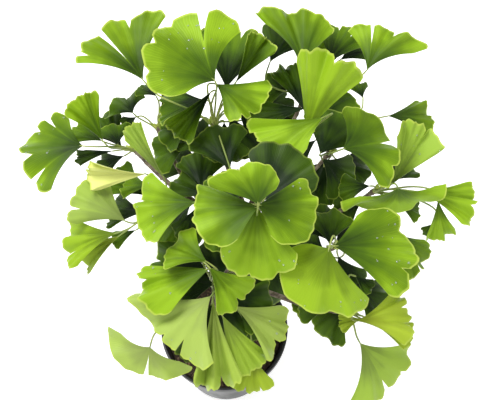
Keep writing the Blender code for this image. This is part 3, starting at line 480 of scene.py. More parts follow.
SPRAYS = {
    "upper_left_spray": spray((214, 124, 266), 0.95, [
        leaf((143, 80, 285), (109, 22, 300), (49, 48), cup=4, droop=12, reach=(1.08, 1.15),
             clefts=((-0.25, 0.6), (0.35, 0.12), (-0.82, 0.14))),
        leaf((215, 81, 322), (150, 30, 340), (85, 86), cup=3, droop=16, reach=(0.45, 0.88),
             clefts=((0.52, 0.42), (-0.1, 0.08), (-0.42, 0.06), (0.2, 0.05)), wet=True),
        leaf((216, 84, 312), (260, 112, 306), (42, 50), cup=5, droop=18, reach=(1.15, 0.72),
             clefts=((0.15, 0.1), (0.45, 0.08)), light=0.72),
        leaf((236, 82, 290), (262, 34, 312), (26, 20), roll=-40, cup=18, droop=8, reach=(0.9, 1)),
        leaf((226, 88, 284), (240, 28, 284), (44, 38), cup=5, droop=10, clefts=((0.1, 0.1),),
             flare=0.7),
        leaf((205, 100, 272), (158, 112, 252), (32, 38), cup=6, reach=(0.9, 0.9),
             clefts=((0.2, 0.08),)),
        leaf((211, 92, 300), (172, 134, 272), (22, 20), roll=35, cup=20, droop=12),
        leaf((215, 150, 240), (184, 128, 236), (45, 40), droop=12),
        leaf((206, 170, 228), (164, 158, 214), (35, 35)),
        leaf((230, 170, 270), (212, 126, 272), (46, 46), light=0.16),
        leaf((224, 122, 280), (226, 164, 262), (44, 42), light=0.24),
        leaf((258, 112, 262), (290, 96, 248), (45, 45), reach=(0.9, 0.9), clefts=((0, 0.1),)),
        leaf((230, 116, 258), (246, 160, 238), (46, 44)),
        leaf((198, 118, 252), (158, 132, 236), (48, 44)),
        leaf((238, 112, 258), (272, 142, 242), (46, 44)),
        leaf((192, 142, 232), (152, 154, 216), (44, 44), droop=18),
    ]),
    "small_left_spray": spray((158, 128, 215), 0.6, [
        leaf((133, 113, 225), (120, 97, 220), (70, 60), reach=(1.15, 1.05), clefts=((0.2, 0.15),),
             ripple=10),
        leaf((156, 96, 236), (143, 84, 228), (45, 40), reach=(0.9, 0.9)),
        leaf((136, 117, 220), (122, 128, 212), (45, 45), reach=(0.9, 0.9)),
        leaf((160, 112, 222), (182, 90, 224), (46, 44)),
    ]),
    "left_spray": spray((134, 149, 222), 0.75, [
        leaf((83, 146, 242), (23, 142, 226), (72, 58), cup=-6, droop=18, reach=(0.86, 0.72),
             clefts=((0.55, 0.3), (0.28, 0.12), (-0.27, 0.15), (-0.6, 0.3)), light=0.62, wet=True),
        leaf((103, 141, 252), (79, 95, 276), (32, 22), cup=8, droop=8, reach=(0.95, 1)),
        leaf((118, 145, 228), (113, 124, 222), (52, 48), cup=5, reach=(0.95, 0.95)),
        leaf((113, 151, 215), (76, 157, 200), (16, 14), droop=10),
        leaf((102, 141, 238), (72, 128, 234), (34, 34)),
        leaf((122, 148, 220), (98, 116, 220), (34, 34)),
        leaf((124, 156, 210), (98, 168, 194), (36, 34), droop=18),
    ]),
    "lower_left_spray": spray((156, 214, 214), 0.55, [
        leaf((164, 178, 255), (131, 123, 276), (13, 12), roll=30, cup=12, droop=10, light=0.85,
             pale=0.3),
        leaf((146, 174, 240), (86, 171, 250), (22, 16), roll=55, cup=10, droop=14, light=1,
             pale=0.95, yellow=0.7),
        leaf((125, 221, 240), (77, 187, 248), (42, 38), cup=-8, reach=(0.95, 0.75),
             clefts=((-0.55, 0.15),), light=0.8, pale=0.35),
        leaf((117, 233, 232), (64, 248, 208), (30, 32), droop=22, reach=(0.95, 1),
             clefts=((0.35, 0.3), (-0.3, 0.2)), light=0.98, yellow=0.1),
        leaf((119, 236, 222), (84, 262, 192), (24, 25), cup=6, reach=(1, 1), clefts=((0.4, 0.2),),
             light=1, yellow=0.3),
        leaf((136, 230, 222), (112, 242, 212), (26, 26)),
        leaf((150, 186, 225), (122, 186, 212), (32, 34), droop=20),
        leaf((148, 196, 216), (108, 176, 214), (30, 36)),
        leaf((146, 212, 210), (108, 212, 190), (30, 30), droop=18),
    ]),
    "centre_left_spray": spray((206, 206, 246), 0.7, [
        leaf((196, 202, 285), (135, 214, 270), (46, 44), cup=4, reach=(0.93, 1),
             clefts=((0.3, 0.07),), light=0.84, wet=True),
        leaf((196, 208, 272), (180, 240, 252), (45, 30), reach=(0.9, 0.9)),
        leaf((216, 238, 258), (188, 222, 248), (42, 40)),
        leaf((190, 206, 238), (160, 246, 228), (34, 34)),
        leaf((214, 198, 232), (176, 176, 226), (36, 40)),
        leaf((202, 192, 236), (200, 152, 236), (42, 42)),
        leaf((222, 212, 270), (232, 252, 254), (48, 48), droop=20, flare=0.7),
        leaf((232, 206, 262), (228, 170, 262), (50, 48), flare=0.8),
    ]),
    "front_spray": spray((213, 284, 214), 0.35, [
        leaf((207, 262, 268), (170, 246, 258), (42, 44), cup=10, droop=20, light=0.8),
        leaf((207, 267, 245), (151, 262, 225), (36, 32), droop=20, clefts=((0.1, 0.08),)),
        leaf((209, 269, 262), (138, 290, 238), (36, 20), droop=20, reach=(0.8, 1),
             clefts=((0.3, 0.08),), flare=0.9, light=0.92, wet=True),
        leaf((209, 267, 268), (240, 306, 240), (38, 36), cup=6, droop=22, reach=(0.98, 0.9),
             clefts=((-0.1, 0.1),), light=1),
        leaf((211, 296, 262), (163, 344, 238), (52, 46), reach=(1.08, 1.38),
             clefts=((-0.3, 0.22), (0.1, 0.06)), light=1, pale=0.5, wet=True),
        leaf((213, 299, 256), (216, 391, 226), (20, 17), droop=8, clefts=((-0.2, 0.08),), ripple=8,
             light=1, pale=0.3, yellow=0.15),
        leaf((222, 315, 238), (252, 374, 212), (24, 24), droop=12, flare=0.7, light=1, pale=0.15,
             yellow=0.1),
        leaf((234, 306, 228), (286, 336, 205), (32, 32), reach=(0.88, 1.1), clefts=((0.35, 0.1),),
             light=1, pale=0.45, yellow=0.1, wet=True),
        leaf((252, 352, 205), (250, 394, 185), (42, 40), droop=20,
             clefts=((0.2, 0.12), (-0.4, 0.1)), light=1, yellow=0.35),
        leaf((258, 256, 228), (278, 304, 200), (48, 45), droop=20),
        leaf((244, 296, 205), (262, 340, 182), (40, 40)),
        leaf((284, 248, 244), (302, 270, 232), (46, 46)),
        leaf((236, 276, 222), (246, 312, 196), (45, 45), droop=20),
        leaf((212, 302, 232), (196, 366, 206), (30, 28)),
        leaf((220, 278, 240), (216, 240, 230), (46, 44), flare=0.7),
        leaf((228, 292, 226), (270, 314, 206), (46, 44), droop=20),
        leaf((210, 274, 240), (168, 278, 220), (50, 50), flare=0.9),
        leaf((222, 298, 218), (232, 342, 190), (48, 46), droop=20),
        leaf((214, 284, 250), (176, 286, 234), (46, 46), flare=0.8),
    ]),
    "pot_side_spray": spray((166, 322, 160), 0.2, [
        leaf((150, 347, 178), (146, 377, 160), (71, 103), droop=5, reach=(1.65, 1.65),
             clefts=((0, 0.75),), flare=0.7, light=0.95, pale=0.5),
    ]),
    "centre_spray": spray((262, 207, 300), 1.0, [
        leaf((258, 204, 352), (249, 162, 368), (60, 70), droop=22, reach=(1.42, 0.62),
             clefts=((-0.3, 0.05),), flare=0.8, light=0.7),
        leaf((258, 207, 345), (192, 216, 335), (58, 34), droop=22, reach=(0.66, 1), flare=0.9,
             light=0.66),
        leaf((257, 207, 340), (254, 281, 306), (44, 42), cup=10, droop=22, reach=(0.9, 0.72),
             clefts=((0.1, 0.05),), flare=0.9, light=0.94, wet=True),
        leaf((258, 205, 338), (318, 216, 322), (40, 70), cup=10, droop=20, reach=(0.95, 0.62),
             flare=0.9, light=0.66, wet=True),
        leaf((264, 200, 322), (304, 152, 334), (60, 52), cup=14, reach=(0.85, 0.78), flare=0.85,
             light=0.04),
        leaf((272, 212, 288), (304, 238, 268), (46, 44)),
    ]),
    "upper_right_spray": spray((308, 134, 264), 0.9, [
        leaf((305, 136, 302), (330, 50, 352), (27, 31), cup=-8, droop=12, reach=(0.92, 0.95),
             clefts=((0.2, 0.04),), light=1, yellow=0.05),
        leaf((324, 117, 330), (262, 149, 318), (46, 26), cup=6, droop=12, reach=(0.62, 1.22),
             light=0.98),
        leaf((367, 70, 298), (385, 26, 310), (48, 48), reach=(1.05, 1.48),
             clefts=((-0.31, 0.42), (0.35, 0.08)), flare=0.5),
        leaf((305, 112, 255), (282, 66, 255), (18, 20)),
        leaf((363, 98, 240), (357, 83, 236), (35, 35), droop=10),
        leaf((306, 108, 262), (246, 124, 250), (22, 26), cup=5),
        leaf((296, 126, 250), (264, 112, 240), (46, 46)),
        leaf((314, 124, 250), (336, 86, 242), (44, 44)),
        leaf((300, 146, 252), (268, 182, 238), (46, 46), flare=0.7),
    ]),
    "back_spray": spray((306, 92, 244), 0.85, [
        leaf((304, 68, 288), (298, 10, 300), (34, 48), droop=18, reach=(1.45, 0.85), light=0.66),
        leaf((328, 64, 275), (348, 26, 272), (40, 40), reach=(1, 1),
             clefts=((0.3, 0.2), (-0.2, 0.12))),
        leaf((340, 60, 266), (366, 46, 258), (30, 32)),
        leaf((270, 62, 272), (290, 28, 272), (42, 40), droop=20),
        leaf((300, 74, 262), (318, 40, 258), (40, 40)),
        leaf((294, 86, 248), (262, 88, 242), (44, 44)),
    ]),
    "right_spray": spray((330, 152, 254), 0.8, [
        leaf((343, 149, 298), (395, 140, 284), (76, 72), cup=6, droop=18, reach=(0.85, 0.95),
             clefts=((0.02, 0.26), (0.5, 0.06)), light=0.6),
        leaf((322, 159, 262), (351, 185, 240), (50, 52)),
        leaf((320, 154, 266), (345, 114, 262), (50, 48), flare=0.7),
        leaf((324, 166, 240), (326, 206, 222), (36, 40)),
        leaf((316, 140, 246), (284, 166, 232), (36, 36)),
        leaf((388, 116, 244), (432, 117, 228), (30, 38), droop=18),
        leaf((338, 160, 242), (370, 170, 226), (46, 44)),
        leaf((328, 160, 234), (300, 194, 220), (44, 44)),
    ]),
    "far_right_spray": spray((376, 190, 246), 0.65, [
        leaf((390, 186, 262), (421, 122, 298), (26, 26), roll=-30, cup=14, droop=20,
             clefts=((0.3, 0.1),), light=1, pale=0.2, wet=True),
        leaf((398, 188, 292), (395, 213, 262), (82, 84), droop=6, reach=(1.5, 1.7),
             clefts=((0.1, 0.12),), light=0.88),
        leaf((420, 192, 280), (477, 203, 268), (24, 34), clefts=((0.2, 0.05),), light=0.9),
        leaf((438, 200, 262), (440, 240, 228), (24, 24), droop=10, light=0.92),
        leaf((384, 184, 246), (404, 158, 236), (44, 42)),
        leaf((370, 186, 260), (338, 190, 252), (40, 38)),
        leaf((436, 222, 240), (425, 236, 226), (35, 30), droop=10),
        leaf((398, 204, 250), (420, 212, 238), (30, 40), droop=10),
        leaf((366, 196, 238), (336, 214, 228), (36, 34)),
    ]),
    "lower_right_spray": spray((334, 247, 268), 0.6, [
        leaf((334, 246, 302), (417, 250, 290), (58, 46), cup=4, droop=18, reach=(0.55, 0.95),
             clefts=((0.4, 0.1), (-0.3, 0.04)), flare=0.8, light=0.7, wet=True),
        leaf((329, 248, 318), (317, 314, 286), (46, 105), cup=-14, reach=(1.22, 0.3), flare=0.8,
             light=1, yellow=0.08, wet=True),
        leaf((390, 232, 266), (425, 266, 236), (30, 34), droop=20, clefts=((0.3, 0.15),)),
        leaf((330, 245, 270), (330, 210, 262), (46, 44)),
        leaf((336, 242, 258), (358, 222, 244), (40, 42)),
        leaf((328, 256, 246), (290, 240, 232), (46, 44)),
        leaf((328, 240, 252), (304, 210, 246), (44, 44)),
        leaf((338, 256, 246), (352, 292, 226), (44, 44), droop=18),
    ]),
    "front_right_spray": spray((350, 312, 232), 0.45, [
        leaf((361, 319, 252), (338, 323, 247), (36, 32), clefts=((0.2, 0.15),), light=1,
             yellow=0.4),
        leaf((357, 321, 268), (411, 313, 256), (30, 38), droop=18, reach=(1.05, 0.95),
             clefts=((-0.25, 0.1), (0.3, 0.12)), light=1, yellow=0.45),
        leaf((372, 323, 248), (413, 337, 238), (25, 25), light=1, yellow=0.4),
        leaf((360, 343, 222), (393, 389, 188), (49, 49), cup=4, reach=(1, 1.05),
             clefts=((0.1, 0.2), (-0.35, 0.06)), light=1, pale=0.25),
        leaf((352, 300, 238), (316, 330, 212), (46, 46)),
        leaf((352, 284, 258), (386, 306, 236), (42, 40), reach=(0.9, 0.9)),
        leaf((355, 276, 272), (372, 291, 264), (32, 32), droop=10),
        leaf((328, 286, 216), (290, 302, 196), (44, 46), droop=12),
        leaf((340, 304, 242), (300, 298, 226), (44, 46)),
    ]),
}

TRUNK_LINE = (
    (0.0, 0.0, SOIL_TOP - TRUNK_SEAT_DEPTH + 2.0),
    (0.0, 0.0, SOIL_TOP + 2.0),
    (3.0, 5.0, 108.0),
    (-3.0, 13.0, 134.0),
    (2.0, 24.0, 160.0),
    (12.0, 33.0, 188.0),
    (16.0, 44.0, 216.0),
    (20.0, 52.0, 244.0),
)
TRUNK_TAPER = ((0, 0.2, 0.45, 1), (TRUNK_FOOT_RADIUS, TRUNK_FOOT_RADIUS, 5.4, TRUNK_TOP_RADIUS))


def unit(vector):
    return vector / np.linalg.norm(vector)


def smooth_line(points, steps):
    """Catmull-Rom curve through the points, with this many steps between two of them."""
    points = np.array(points, dtype=float)
    padded = np.vstack((2 * points[0] - points[1], points, 2 * points[-1] - points[-2]))
    line = []
    for i in range(1, len(points)):
        before, start, end, after = padded[i - 1:i + 3]
        for t in np.arange(steps) / steps:
            line.append(0.5 * (2 * start + (end - before) * t
                               + (2 * before - 5 * start + 4 * end - after) * t ** 2
                               + (3 * start - before - 3 * end + after) * t ** 3))
    return np.array(line + [points[-1]])


def bezier(start, first, second, end, count):
    t = np.linspace(0, 1, count)[:, None]
    return (start * (1 - t) ** 3 + 3 * first * t * (1 - t) ** 2
            + 3 * second * t ** 2 * (1 - t) + end * t ** 3)


def trunk_line():
    return smooth_line(TRUNK_LINE, 4)


def twig_line(spray_):
    """A spray's own woody twig: its joint with the branch, and its direction to the spur."""
    fork = trunk_line()[round(spray_.start * (len(trunk_line()) - 1))]
    direction = unit(spray_.hub - fork + (0.0, 0.0, TWIG_RISE))
    return spray_.hub - direction * TWIG_LENGTH, direction


def branch_line(spray_):
    line = trunk_line()
    index = round(spray_.start * (len(line) - 1))
    joint, direction = twig_line(spray_)
    fork = line[index]
    reach = np.linalg.norm(joint - fork)
    upward = unit(line[min(index + 1, len(line) - 1)] - line[index - 1])
    start = fork - upward * 2
    straight = joint - direction * 4
    first = start + upward * reach * 0.35
    second = straight - direction * reach * 0.35
    return np.vstack((bezier(start, first, second, straight, 6), joint))


def barked_bars(bars):
    """Round bars in one mesh, uneven with ridges and knots.

    Each bar is its line, the radii along it, its number of sides and its roughness.
    """
    points, faces = [], []
    for line, radii, sides, roughness in bars:
        first = len(points)
        tangents = np.gradient(line, axis=0)
        across = unit(np.cross(tangents[0], (0.27, 0.91, 0.31)))
        for point, tangent, radius in zip(line, tangents, radii):
            ahead = unit(tangent)
            across = unit(across - ahead * np.dot(across, ahead))
            other = np.cross(ahead, across)
            for turn in range(sides):
                angle = math.tau * turn / sides
                ridge = math.sin(5 * angle + 0.13 * point[2])
                ridge += 0.7 * math.sin(9 * angle - 0.21 * point[2] + point[0])
                knot = math.sin(0.5 * point[2] + 2 * angle) * math.cos(0.23 * (point[0] - point[1]))
                out = radius * (1 + roughness * (ridge + knot))
                points.append(point + out * (math.cos(angle) * across + math.sin(angle) * other))
        for ring in range(len(line) - 1):
            for turn in range(sides):
                a, b = first + ring * sides + turn, first + ring * sides + (turn + 1) % sides
                faces.append((a, b, b + sides, a + sides))
        faces.append(tuple(first + turn for turn in reversed(range(sides))))
        faces.append(tuple(first + (len(line) - 1) * sides + turn for turn in range(sides)))
    return points, faces


def finer(line, radii, steps):
    """The same bar with more rings."""
    close = smooth_line(line, steps)
    places = np.linspace(0, len(line) - 1, len(close))
    return close, np.interp(places, np.arange(len(line)), radii)


wood_line = trunk_line()
wood_radii = np.interp(np.linspace(0, 1, len(wood_line)), *TRUNK_TAPER)
wood_radii = wood_radii * (1 + 0.05 * np.sin(np.arange(len(wood_line)) * 2.1))
wood_radii[:5] = TRUNK_FOOT_RADIUS
wood_bars = [(*finer(wood_line, wood_radii, 5), TRUNK_SIDES, TRUNK_ROUGHNESS)]
for spray_ in SPRAYS.values():
    way = branch_line(spray_)
    thick = np.linspace(BRANCH_START_RADIUS, BRANCH_END_RADIUS, len(way))
    thick[-2:] = BRANCH_END_RADIUS
    wood_bars.append((*finer(way, thick, 8), BRANCH_SIDES, BRANCH_ROUGHNESS))
bark_finish = mottled_finish("bark_finish", 0.86, (260.0, 6.0, (1.0, 1.0, 0.3)), (
    (0.32, (0.045, 0.032, 0.022)), (0.5, (0.15, 0.115, 0.08)), (0.72, (0.30, 0.255, 0.195))), 0.9)
wood = smooth_piece("trunk_and_boughs", *barked_bars(wood_bars), bark_finish)
finish_piece(wood, ["trunk_and_branches"])


# Leaves
# Each spray is a tuft of fan-shaped ginkgo blades on slender stalks. A blade is thin and smooth,
# with a waved margin, one or more clefts and fine veins that fork as they fan out from its foot.
# Every blade is lowered along its line of sight until it is clear of the others, as in the solids.
BLADE_THICKNESS = 0.8
SHEET_THICKNESS = 0.5
SHEET_RIM_SHARE = 0.6
PETIOLE_RADIUS = 0.85
STALK_SINK = 2.5
STALK_OFFSET = 0.9
STALK_SIDES = 10
STALK_TAPER = ((0, 0.12, 0.75, 1), (1.5, 1, 0.8, 0.25))
STALK_END = 0.06
BLADE_START = 0.12
FINE_START = 0.02
FINE_ROWS = 20
FINE_COLUMNS = 44
CORNER_START, CORNER_WIDTH, CORNER_CUT = 0.82, 0.18, 0.10
CLEFT_WIDTH = 0.05
CLEFT_SHOULDER_WIDTH, CLEFT_SHOULDER_CUT = 0.12, 0.06
CLEFT_COLUMNS = np.array((-1, -0.75, -0.5, -0.25, -0.08, 0, 0.08, 0.25, 0.5, 0.75, 1))
SHALLOW = 0.13
SCALLOP_INSET = 0.018
CLEARANCE = 0.7
WOOD_CLEARANCE = 1.5
BRANCH_CLEARANCE = 1.0
TWIG_SPACE = 3.6
RIM_SPACE = 3.0
DROP_STEP, DROP_STEPS = 4.0, 24
FINE_DROP_STEP, FINE_DROP_STEPS = 0.4, 9


def blade_axes(leaf_):
    """Sideways, forward and upward directions at a blade's foot, and its length when flat."""
    reach = leaf_.tip - leaf_.foot
    chord = np.linalg.norm(reach)
    ahead = reach / chord
    side = unit(np.cross(ahead, (0.0, 0.0, 1.0)))
    above = np.cross(side, ahead)
    roll = math.radians(leaf_.roll)
    side, above = (side * math.cos(roll) + above * math.sin(roll),
                   above * math.cos(roll) - side * math.sin(roll))
    half = math.radians(leaf_.droop) / 2
    forward = ahead * math.cos(half) + above * math.sin(half)
    upward = above * math.cos(half) - ahead * math.sin(half)
    return side, forward, upward, chord / np.sinc(half / math.pi)


def margin(leaf_, across, fine):
    """Length of the blade along each line from its foot, as a share of the middle's length.

    The fine margin has small scallops and rounded clefts as well.
    """
    length = 1 + (np.where(across < 0, *leaf_.reach) - 1) * np.abs(across) ** 2.2
    corner = np.clip((np.abs(across) - CORNER_START) / CORNER_WIDTH, 0, 1)
    length = length * (1 - CORNER_CUT * corner ** 2)
    for place, depth in leaf_.clefts:
        near = np.clip(1 - np.abs(across - place) / CLEFT_WIDTH, 0, 1)
        length = length * (1 - depth * (near ** 0.8 if fine else near))
        shoulder = np.exp(-((across - place) / CLEFT_SHOULDER_WIDTH) ** 2)
        length = length * (1 - CLEFT_SHOULDER_CUT * shoulder)
    if fine:
        own = leaf_.foot[0] + leaf_.foot[1]
        scallops = 0.014 * np.sin(15 * across + own) + 0.010 * np.sin(29 * across + 2 * own)
        scallops += 0.006 * np.abs(np.sin(26 * across + own))
        length = length * (1 - SCALLOP_INSET + scallops)
    return length


def blade_surface(leaf_, across, along, fine=False):
    """Points of the blade's middle surface, from -1 to 1 across it and 0 to 1 along it.

    The fine surface has soft pleats between the veins as well. Slopes are in degrees.
    """
    side, forward, upward, length = blade_axes(leaf_)
    out = along * margin(leaf_, across, fine)
    opened = leaf_.flare + (1 - leaf_.flare) * np.minimum(out, 1) ** 0.8
    heading = np.radians(across * np.where(across < 0, *leaf_.spread)) * opened
    waves = leaf_.ripple * out * np.sin(7 * across + 0.05 * leaf_.foot[0] + leaf_.spread[0])
    rise = leaf_.cup * across ** 2 + waves
    if fine:
        pleats = 1.1 * out ** 2 * np.sin(21 * across + leaf_.foot[1])
        pleats += 2.4 * out ** 2.5 * np.sin(11 * across + leaf_.foot[0])
        rise = rise + pleats
    bend = np.radians(leaf_.droop) * out
    distance = length * out * np.sinc(bend / (2 * math.pi))
    slope = np.radians(rise) - bend / 2
    flat = distance * np.cos(slope)
    return (leaf_.foot
            + (flat * np.sin(heading))[..., None] * side
            + (flat * np.cos(heading))[..., None] * forward
            + (distance * np.sin(slope))[..., None] * upward)


def fan_columns(leaf_, count, cleft_columns, least_depth):
    """Places across the fan for a mesh's columns, with closer ones at each cleft of some depth."""
    places = list(np.linspace(-1, 1, count + 1))
    for place, depth in leaf_.clefts:
        if depth >= least_depth:
            places = [x for x in places if abs(x - place) > 1.3 * CLEFT_WIDTH]
            places += list(place + CLEFT_WIDTH * cleft_columns)
    return np.array(sorted(places))


def blade_grid(leaf_):
    """Grid of points, rows from the foot to the margin, as fine as in the solid."""
    width = np.linalg.norm(leaf_.tip - leaf_.foot) * math.radians(sum(leaf_.spread))
    count = 2 * int(np.clip(round(width / 24), 2, 3))
    columns = fan_columns(leaf_, count, np.array((-1, 0, 1)), SHALLOW)
    rows = np.linspace(BLADE_START, 1, 4 if width > 120 else 3)
    along, across = np.meshgrid(rows, columns, indexing="ij")
    return blade_surface(leaf_, across, along)


def grid_normals(grid):
    normals = np.cross(np.gradient(grid, axis=1), np.gradient(grid, axis=0))
    return normals / np.maximum(np.linalg.norm(normals, axis=2, keepdims=True), 1e-9)


def grid_faces(high, wide):
    corner = (np.arange(high - 1)[:, None] * wide + np.arange(wide - 1)).ravel()
    return np.stack((corner, corner + 1, corner + wide + 1, corner + wide), axis=1)


def picture_step(point):
    """Move along the line of sight that gains one unit of height."""
    ray = point - CAMERA
    return ray / ray[2]


def lowered(leaf_, drop):
    """The same leaf lower down, on the same lines of sight."""
    foot, tip = (point - picture_step(point) * drop for point in (leaf_.foot, leaf_.tip))
    return leaf_._replace(foot=foot, tip=tip)


def stalk_line(spray_, leaf_, bend):
    """A petiole from the spur to just inside the blade; bend moves its middle."""
    _, direction = twig_line(spray_)
    _, forward, _, _ = blade_axes(leaf_)
    outward = leaf_.foot - spray_.hub
    outward = unit(outward - direction * np.dot(outward, direction))
    start = spray_.hub - direction * STALK_SINK + outward * STALK_OFFSET
    reach = np.linalg.norm(leaf_.foot - start)
    toward = unit(leaf_.foot - start)
    first = start + unit(direction + toward) * reach * 0.35 + bend
    second = leaf_.foot - forward * reach * 0.35 + bend
    inside = blade_surface(leaf_, np.full(1, 0.03), np.array((0.17,)))
    return np.vstack((bezier(start, first, second, leaf_.foot, 5), inside))


def stalk_bends(spray_, leaf_):
    """Bends to try for a petiole, the straightest first."""
    toward = unit(leaf_.foot - spray_.hub)
    side = unit(np.cross(toward, (0.31, 0.17, 0.94)))
    other = np.cross(toward, side)
    yield np.zeros(3)
    for size in (5, 10, 16, 23, 31, 40):
        for turn in range(8):
            angle = math.tau * (turn + 0.5 * (size % 2)) / 8
            yield size * (math.cos(angle) * side + math.sin(angle) * other)


# Trial shapes, which show what a leaf would touch
def search_tree(points, faces):
    tree = BVHTree.FromPolygons(points.tolist(), faces)
    return tree, points.min(axis=0), points.max(axis=0)


def slab_tree(grid, thickness):
    """Search tree of a closed slab about a grid of points."""
    normals = grid_normals(grid)
    rows, columns = grid.shape[:2]
    count = rows * columns
    points = np.vstack([(grid + normals * half).reshape(-1, 3)
                        for half in (thickness / 2, -thickness / 2)])
    faces = []
    for row in range(rows - 1):
        for column in range(columns - 1):
            for level in (0, count):
                a = row * columns + column + level
                faces += [(a, a + 1, a + columns), (a + 1, a + columns + 1, a + columns)]
    rim = [(0, c) for c in range(columns)] + [(r, columns - 1) for r in range(1, rows)]
    rim += [(rows - 1, c) for c in range(columns - 2, -1, -1)]
    rim += [(r, 0) for r in range(rows - 2, -1, -1)]
    for (r1, c1), (r2, c2) in zip(rim, rim[1:]):
        a, b = r1 * columns + c1, r2 * columns + c2
        faces.append((a, b, b + count, a + count))
    return search_tree(points, faces)


def tube_tree(line, radius, sides=6):
    """Search tree of an open tube along a line."""
    points, faces = [], []
    for point, tangent in zip(line, np.gradient(line, axis=0)):
        across = unit(np.cross(tangent, (0.27, 0.91, 0.31)))
        other = unit(np.cross(tangent, across))
        for turn in range(sides):
            angle = math.tau * turn / sides
            points.append(point + radius * (math.cos(angle) * across + math.sin(angle) * other))
    for ring in range(len(line) - 1):
        for turn in range(sides):
            a, b = ring * sides + turn, ring * sides + (turn + 1) % sides
            faces.append((a, b, b + sides, a + sides))
    return search_tree(np.array(points), faces)


def touches(shape, others):
    tree, low, high = shape
    for other, other_low, other_high in others:
        if np.all(low <= other_high) and np.all(high >= other_low) and tree.overlap(other):
            return True
    return False


def solid_wood():
    """Trial shapes of the trunk, the branches and the pot's rim, and of each spray's twig."""
    wood = [tube_tree(trunk_line()[4:], TRUNK_TOP_RADIUS + WOOD_CLEARANCE)]
    wood += [tube_tree(branch_line(s), BRANCH_START_RADIUS + BRANCH_CLEARANCE)
             for s in SPRAYS.values()]
    ring = np.linspace(0, math.tau, 33)
    rim = np.stack((POT_RIM_RADIUS * np.cos(ring), POT_RIM_RADIUS * np.sin(ring),
                    0 * ring + POT_HEIGHT), axis=1)
    wood.append(tube_tree(rim, RIM_SPACE))
    twigs = {name: tube_tree(np.vstack((twig_line(s)[0], s.hub)), TWIG_SPACE)
             for name, s in SPRAYS.items()}
    return wood, twigs


def settle_leaves():
    """Every leaf as (spray's name, leaf, stalk's line).

    Every blade is lowered until it is clear, the highest blades first. Then every stalk takes
    the straightest way that is clear of other sprays, and of its own if there is one.
    """
    wood, twigs = solid_wood()
    waiting = [(name, leaf_) for name, s in SPRAYS.items() for leaf_ in s.leaves]
    waiting.sort(key=lambda entry: -(entry[1].foot[2] + entry[1].tip[2]))
    blades, shapes = [], []
    for name, leaf_ in waiting:
        for step in range(DROP_STEPS):
            trial = lowered(leaf_, step * DROP_STEP)
            shape = slab_tree(blade_grid(trial), BLADE_THICKNESS + CLEARANCE)
            if not touches(shape, wood + list(twigs.values()) + shapes):
                break
        blades.append((name, trial))
        shapes.append(shape)
    stalks, settled = [], []
    for index, (name, leaf_) in enumerate(blades):
        own = [shape for (other, _), shape in zip(blades, shapes) if other == name]
        own.remove(shapes[index])
        foreign = [shape for (other, _), shape in zip(blades, shapes) if other != name]
        foreign += wood + [shape for other, shape in twigs.items() if other != name]
        foreign += [shape for other, shape in stalks if other != name]
        chosen = None
        for bend in stalk_bends(SPRAYS[name], leaf_):
            line = stalk_line(SPRAYS[name], leaf_, bend)
            shape = tube_tree(line[:-1], PETIOLE_RADIUS + CLEARANCE / 2)
            if touches(shape, foreign):
                continue
            clear = not touches(shape, own)
            if chosen is None or clear:
                chosen = line, shape
            if clear:
                break
        if chosen is not None:
            stalks.append((name, chosen[1]))
            settled.append((name, leaf_, chosen[0]))
    return settled


def blade_sheet(leaf_):
    """Points, faces, fan coordinates and undersides of one finished blade."""
    rows = np.linspace(0, 1, FINE_ROWS) ** 0.8 * (1 - FINE_START) + FINE_START
    columns = np.clip(fan_columns(leaf_, FINE_COLUMNS, CLEFT_COLUMNS, 0), -1, 1)
    along, across = np.meshgrid(rows, columns, indexing="ij")
    grid = blade_surface(leaf_, across, along, fine=True)
    half = SHEET_THICKNESS / 2 * np.where(along > 0.97, SHEET_RIM_SHARE, 1.0)[..., None]
    half = grid_normals(grid) * half
    high, wide = along.shape
    count = high * wide
    points = np.concatenate([(grid + half).reshape(-1, 3), (grid - half).reshape(-1, 3)])
    top = grid_faces(high, wide)
    under = top[:, ::-1] + count
    rim = list(range(wide)) + [row * wide + wide - 1 for row in range(1, high)]
    rim += [count - 1 - i for i in range(1, wide)] + [row * wide for row in range(high - 2, 0, -1)]
    rim = np.array(rim)
    after = np.roll(rim, -1)
    edge = np.stack((after, rim, rim + count, after + count), axis=1)
    fan = np.tile(np.stack((across.ravel() / 2 + 0.5, along.ravel()), axis=1), (2, 1))
    return points, np.concatenate((top, under, edge)), fan, np.repeat((0.0, 1.0), count)


def clear_blades(settled):
    """The finished blades, each lowered along its line of sight until it crosses no other."""
    trees, finished = [], []
    for name, leaf_, line in settled:
        for step in range(FINE_DROP_STEPS):
            trial = lowered(leaf_, step * FINE_DROP_STEP)
            sheet = blade_sheet(trial)
            tree = BVHTree.FromPolygons(sheet[0].tolist(), sheet[1].tolist())
            if not any(tree.overlap(other) for other in trees):
                break
        trees.append(tree)
        finished.append((name, trial, line, sheet))
    return finished
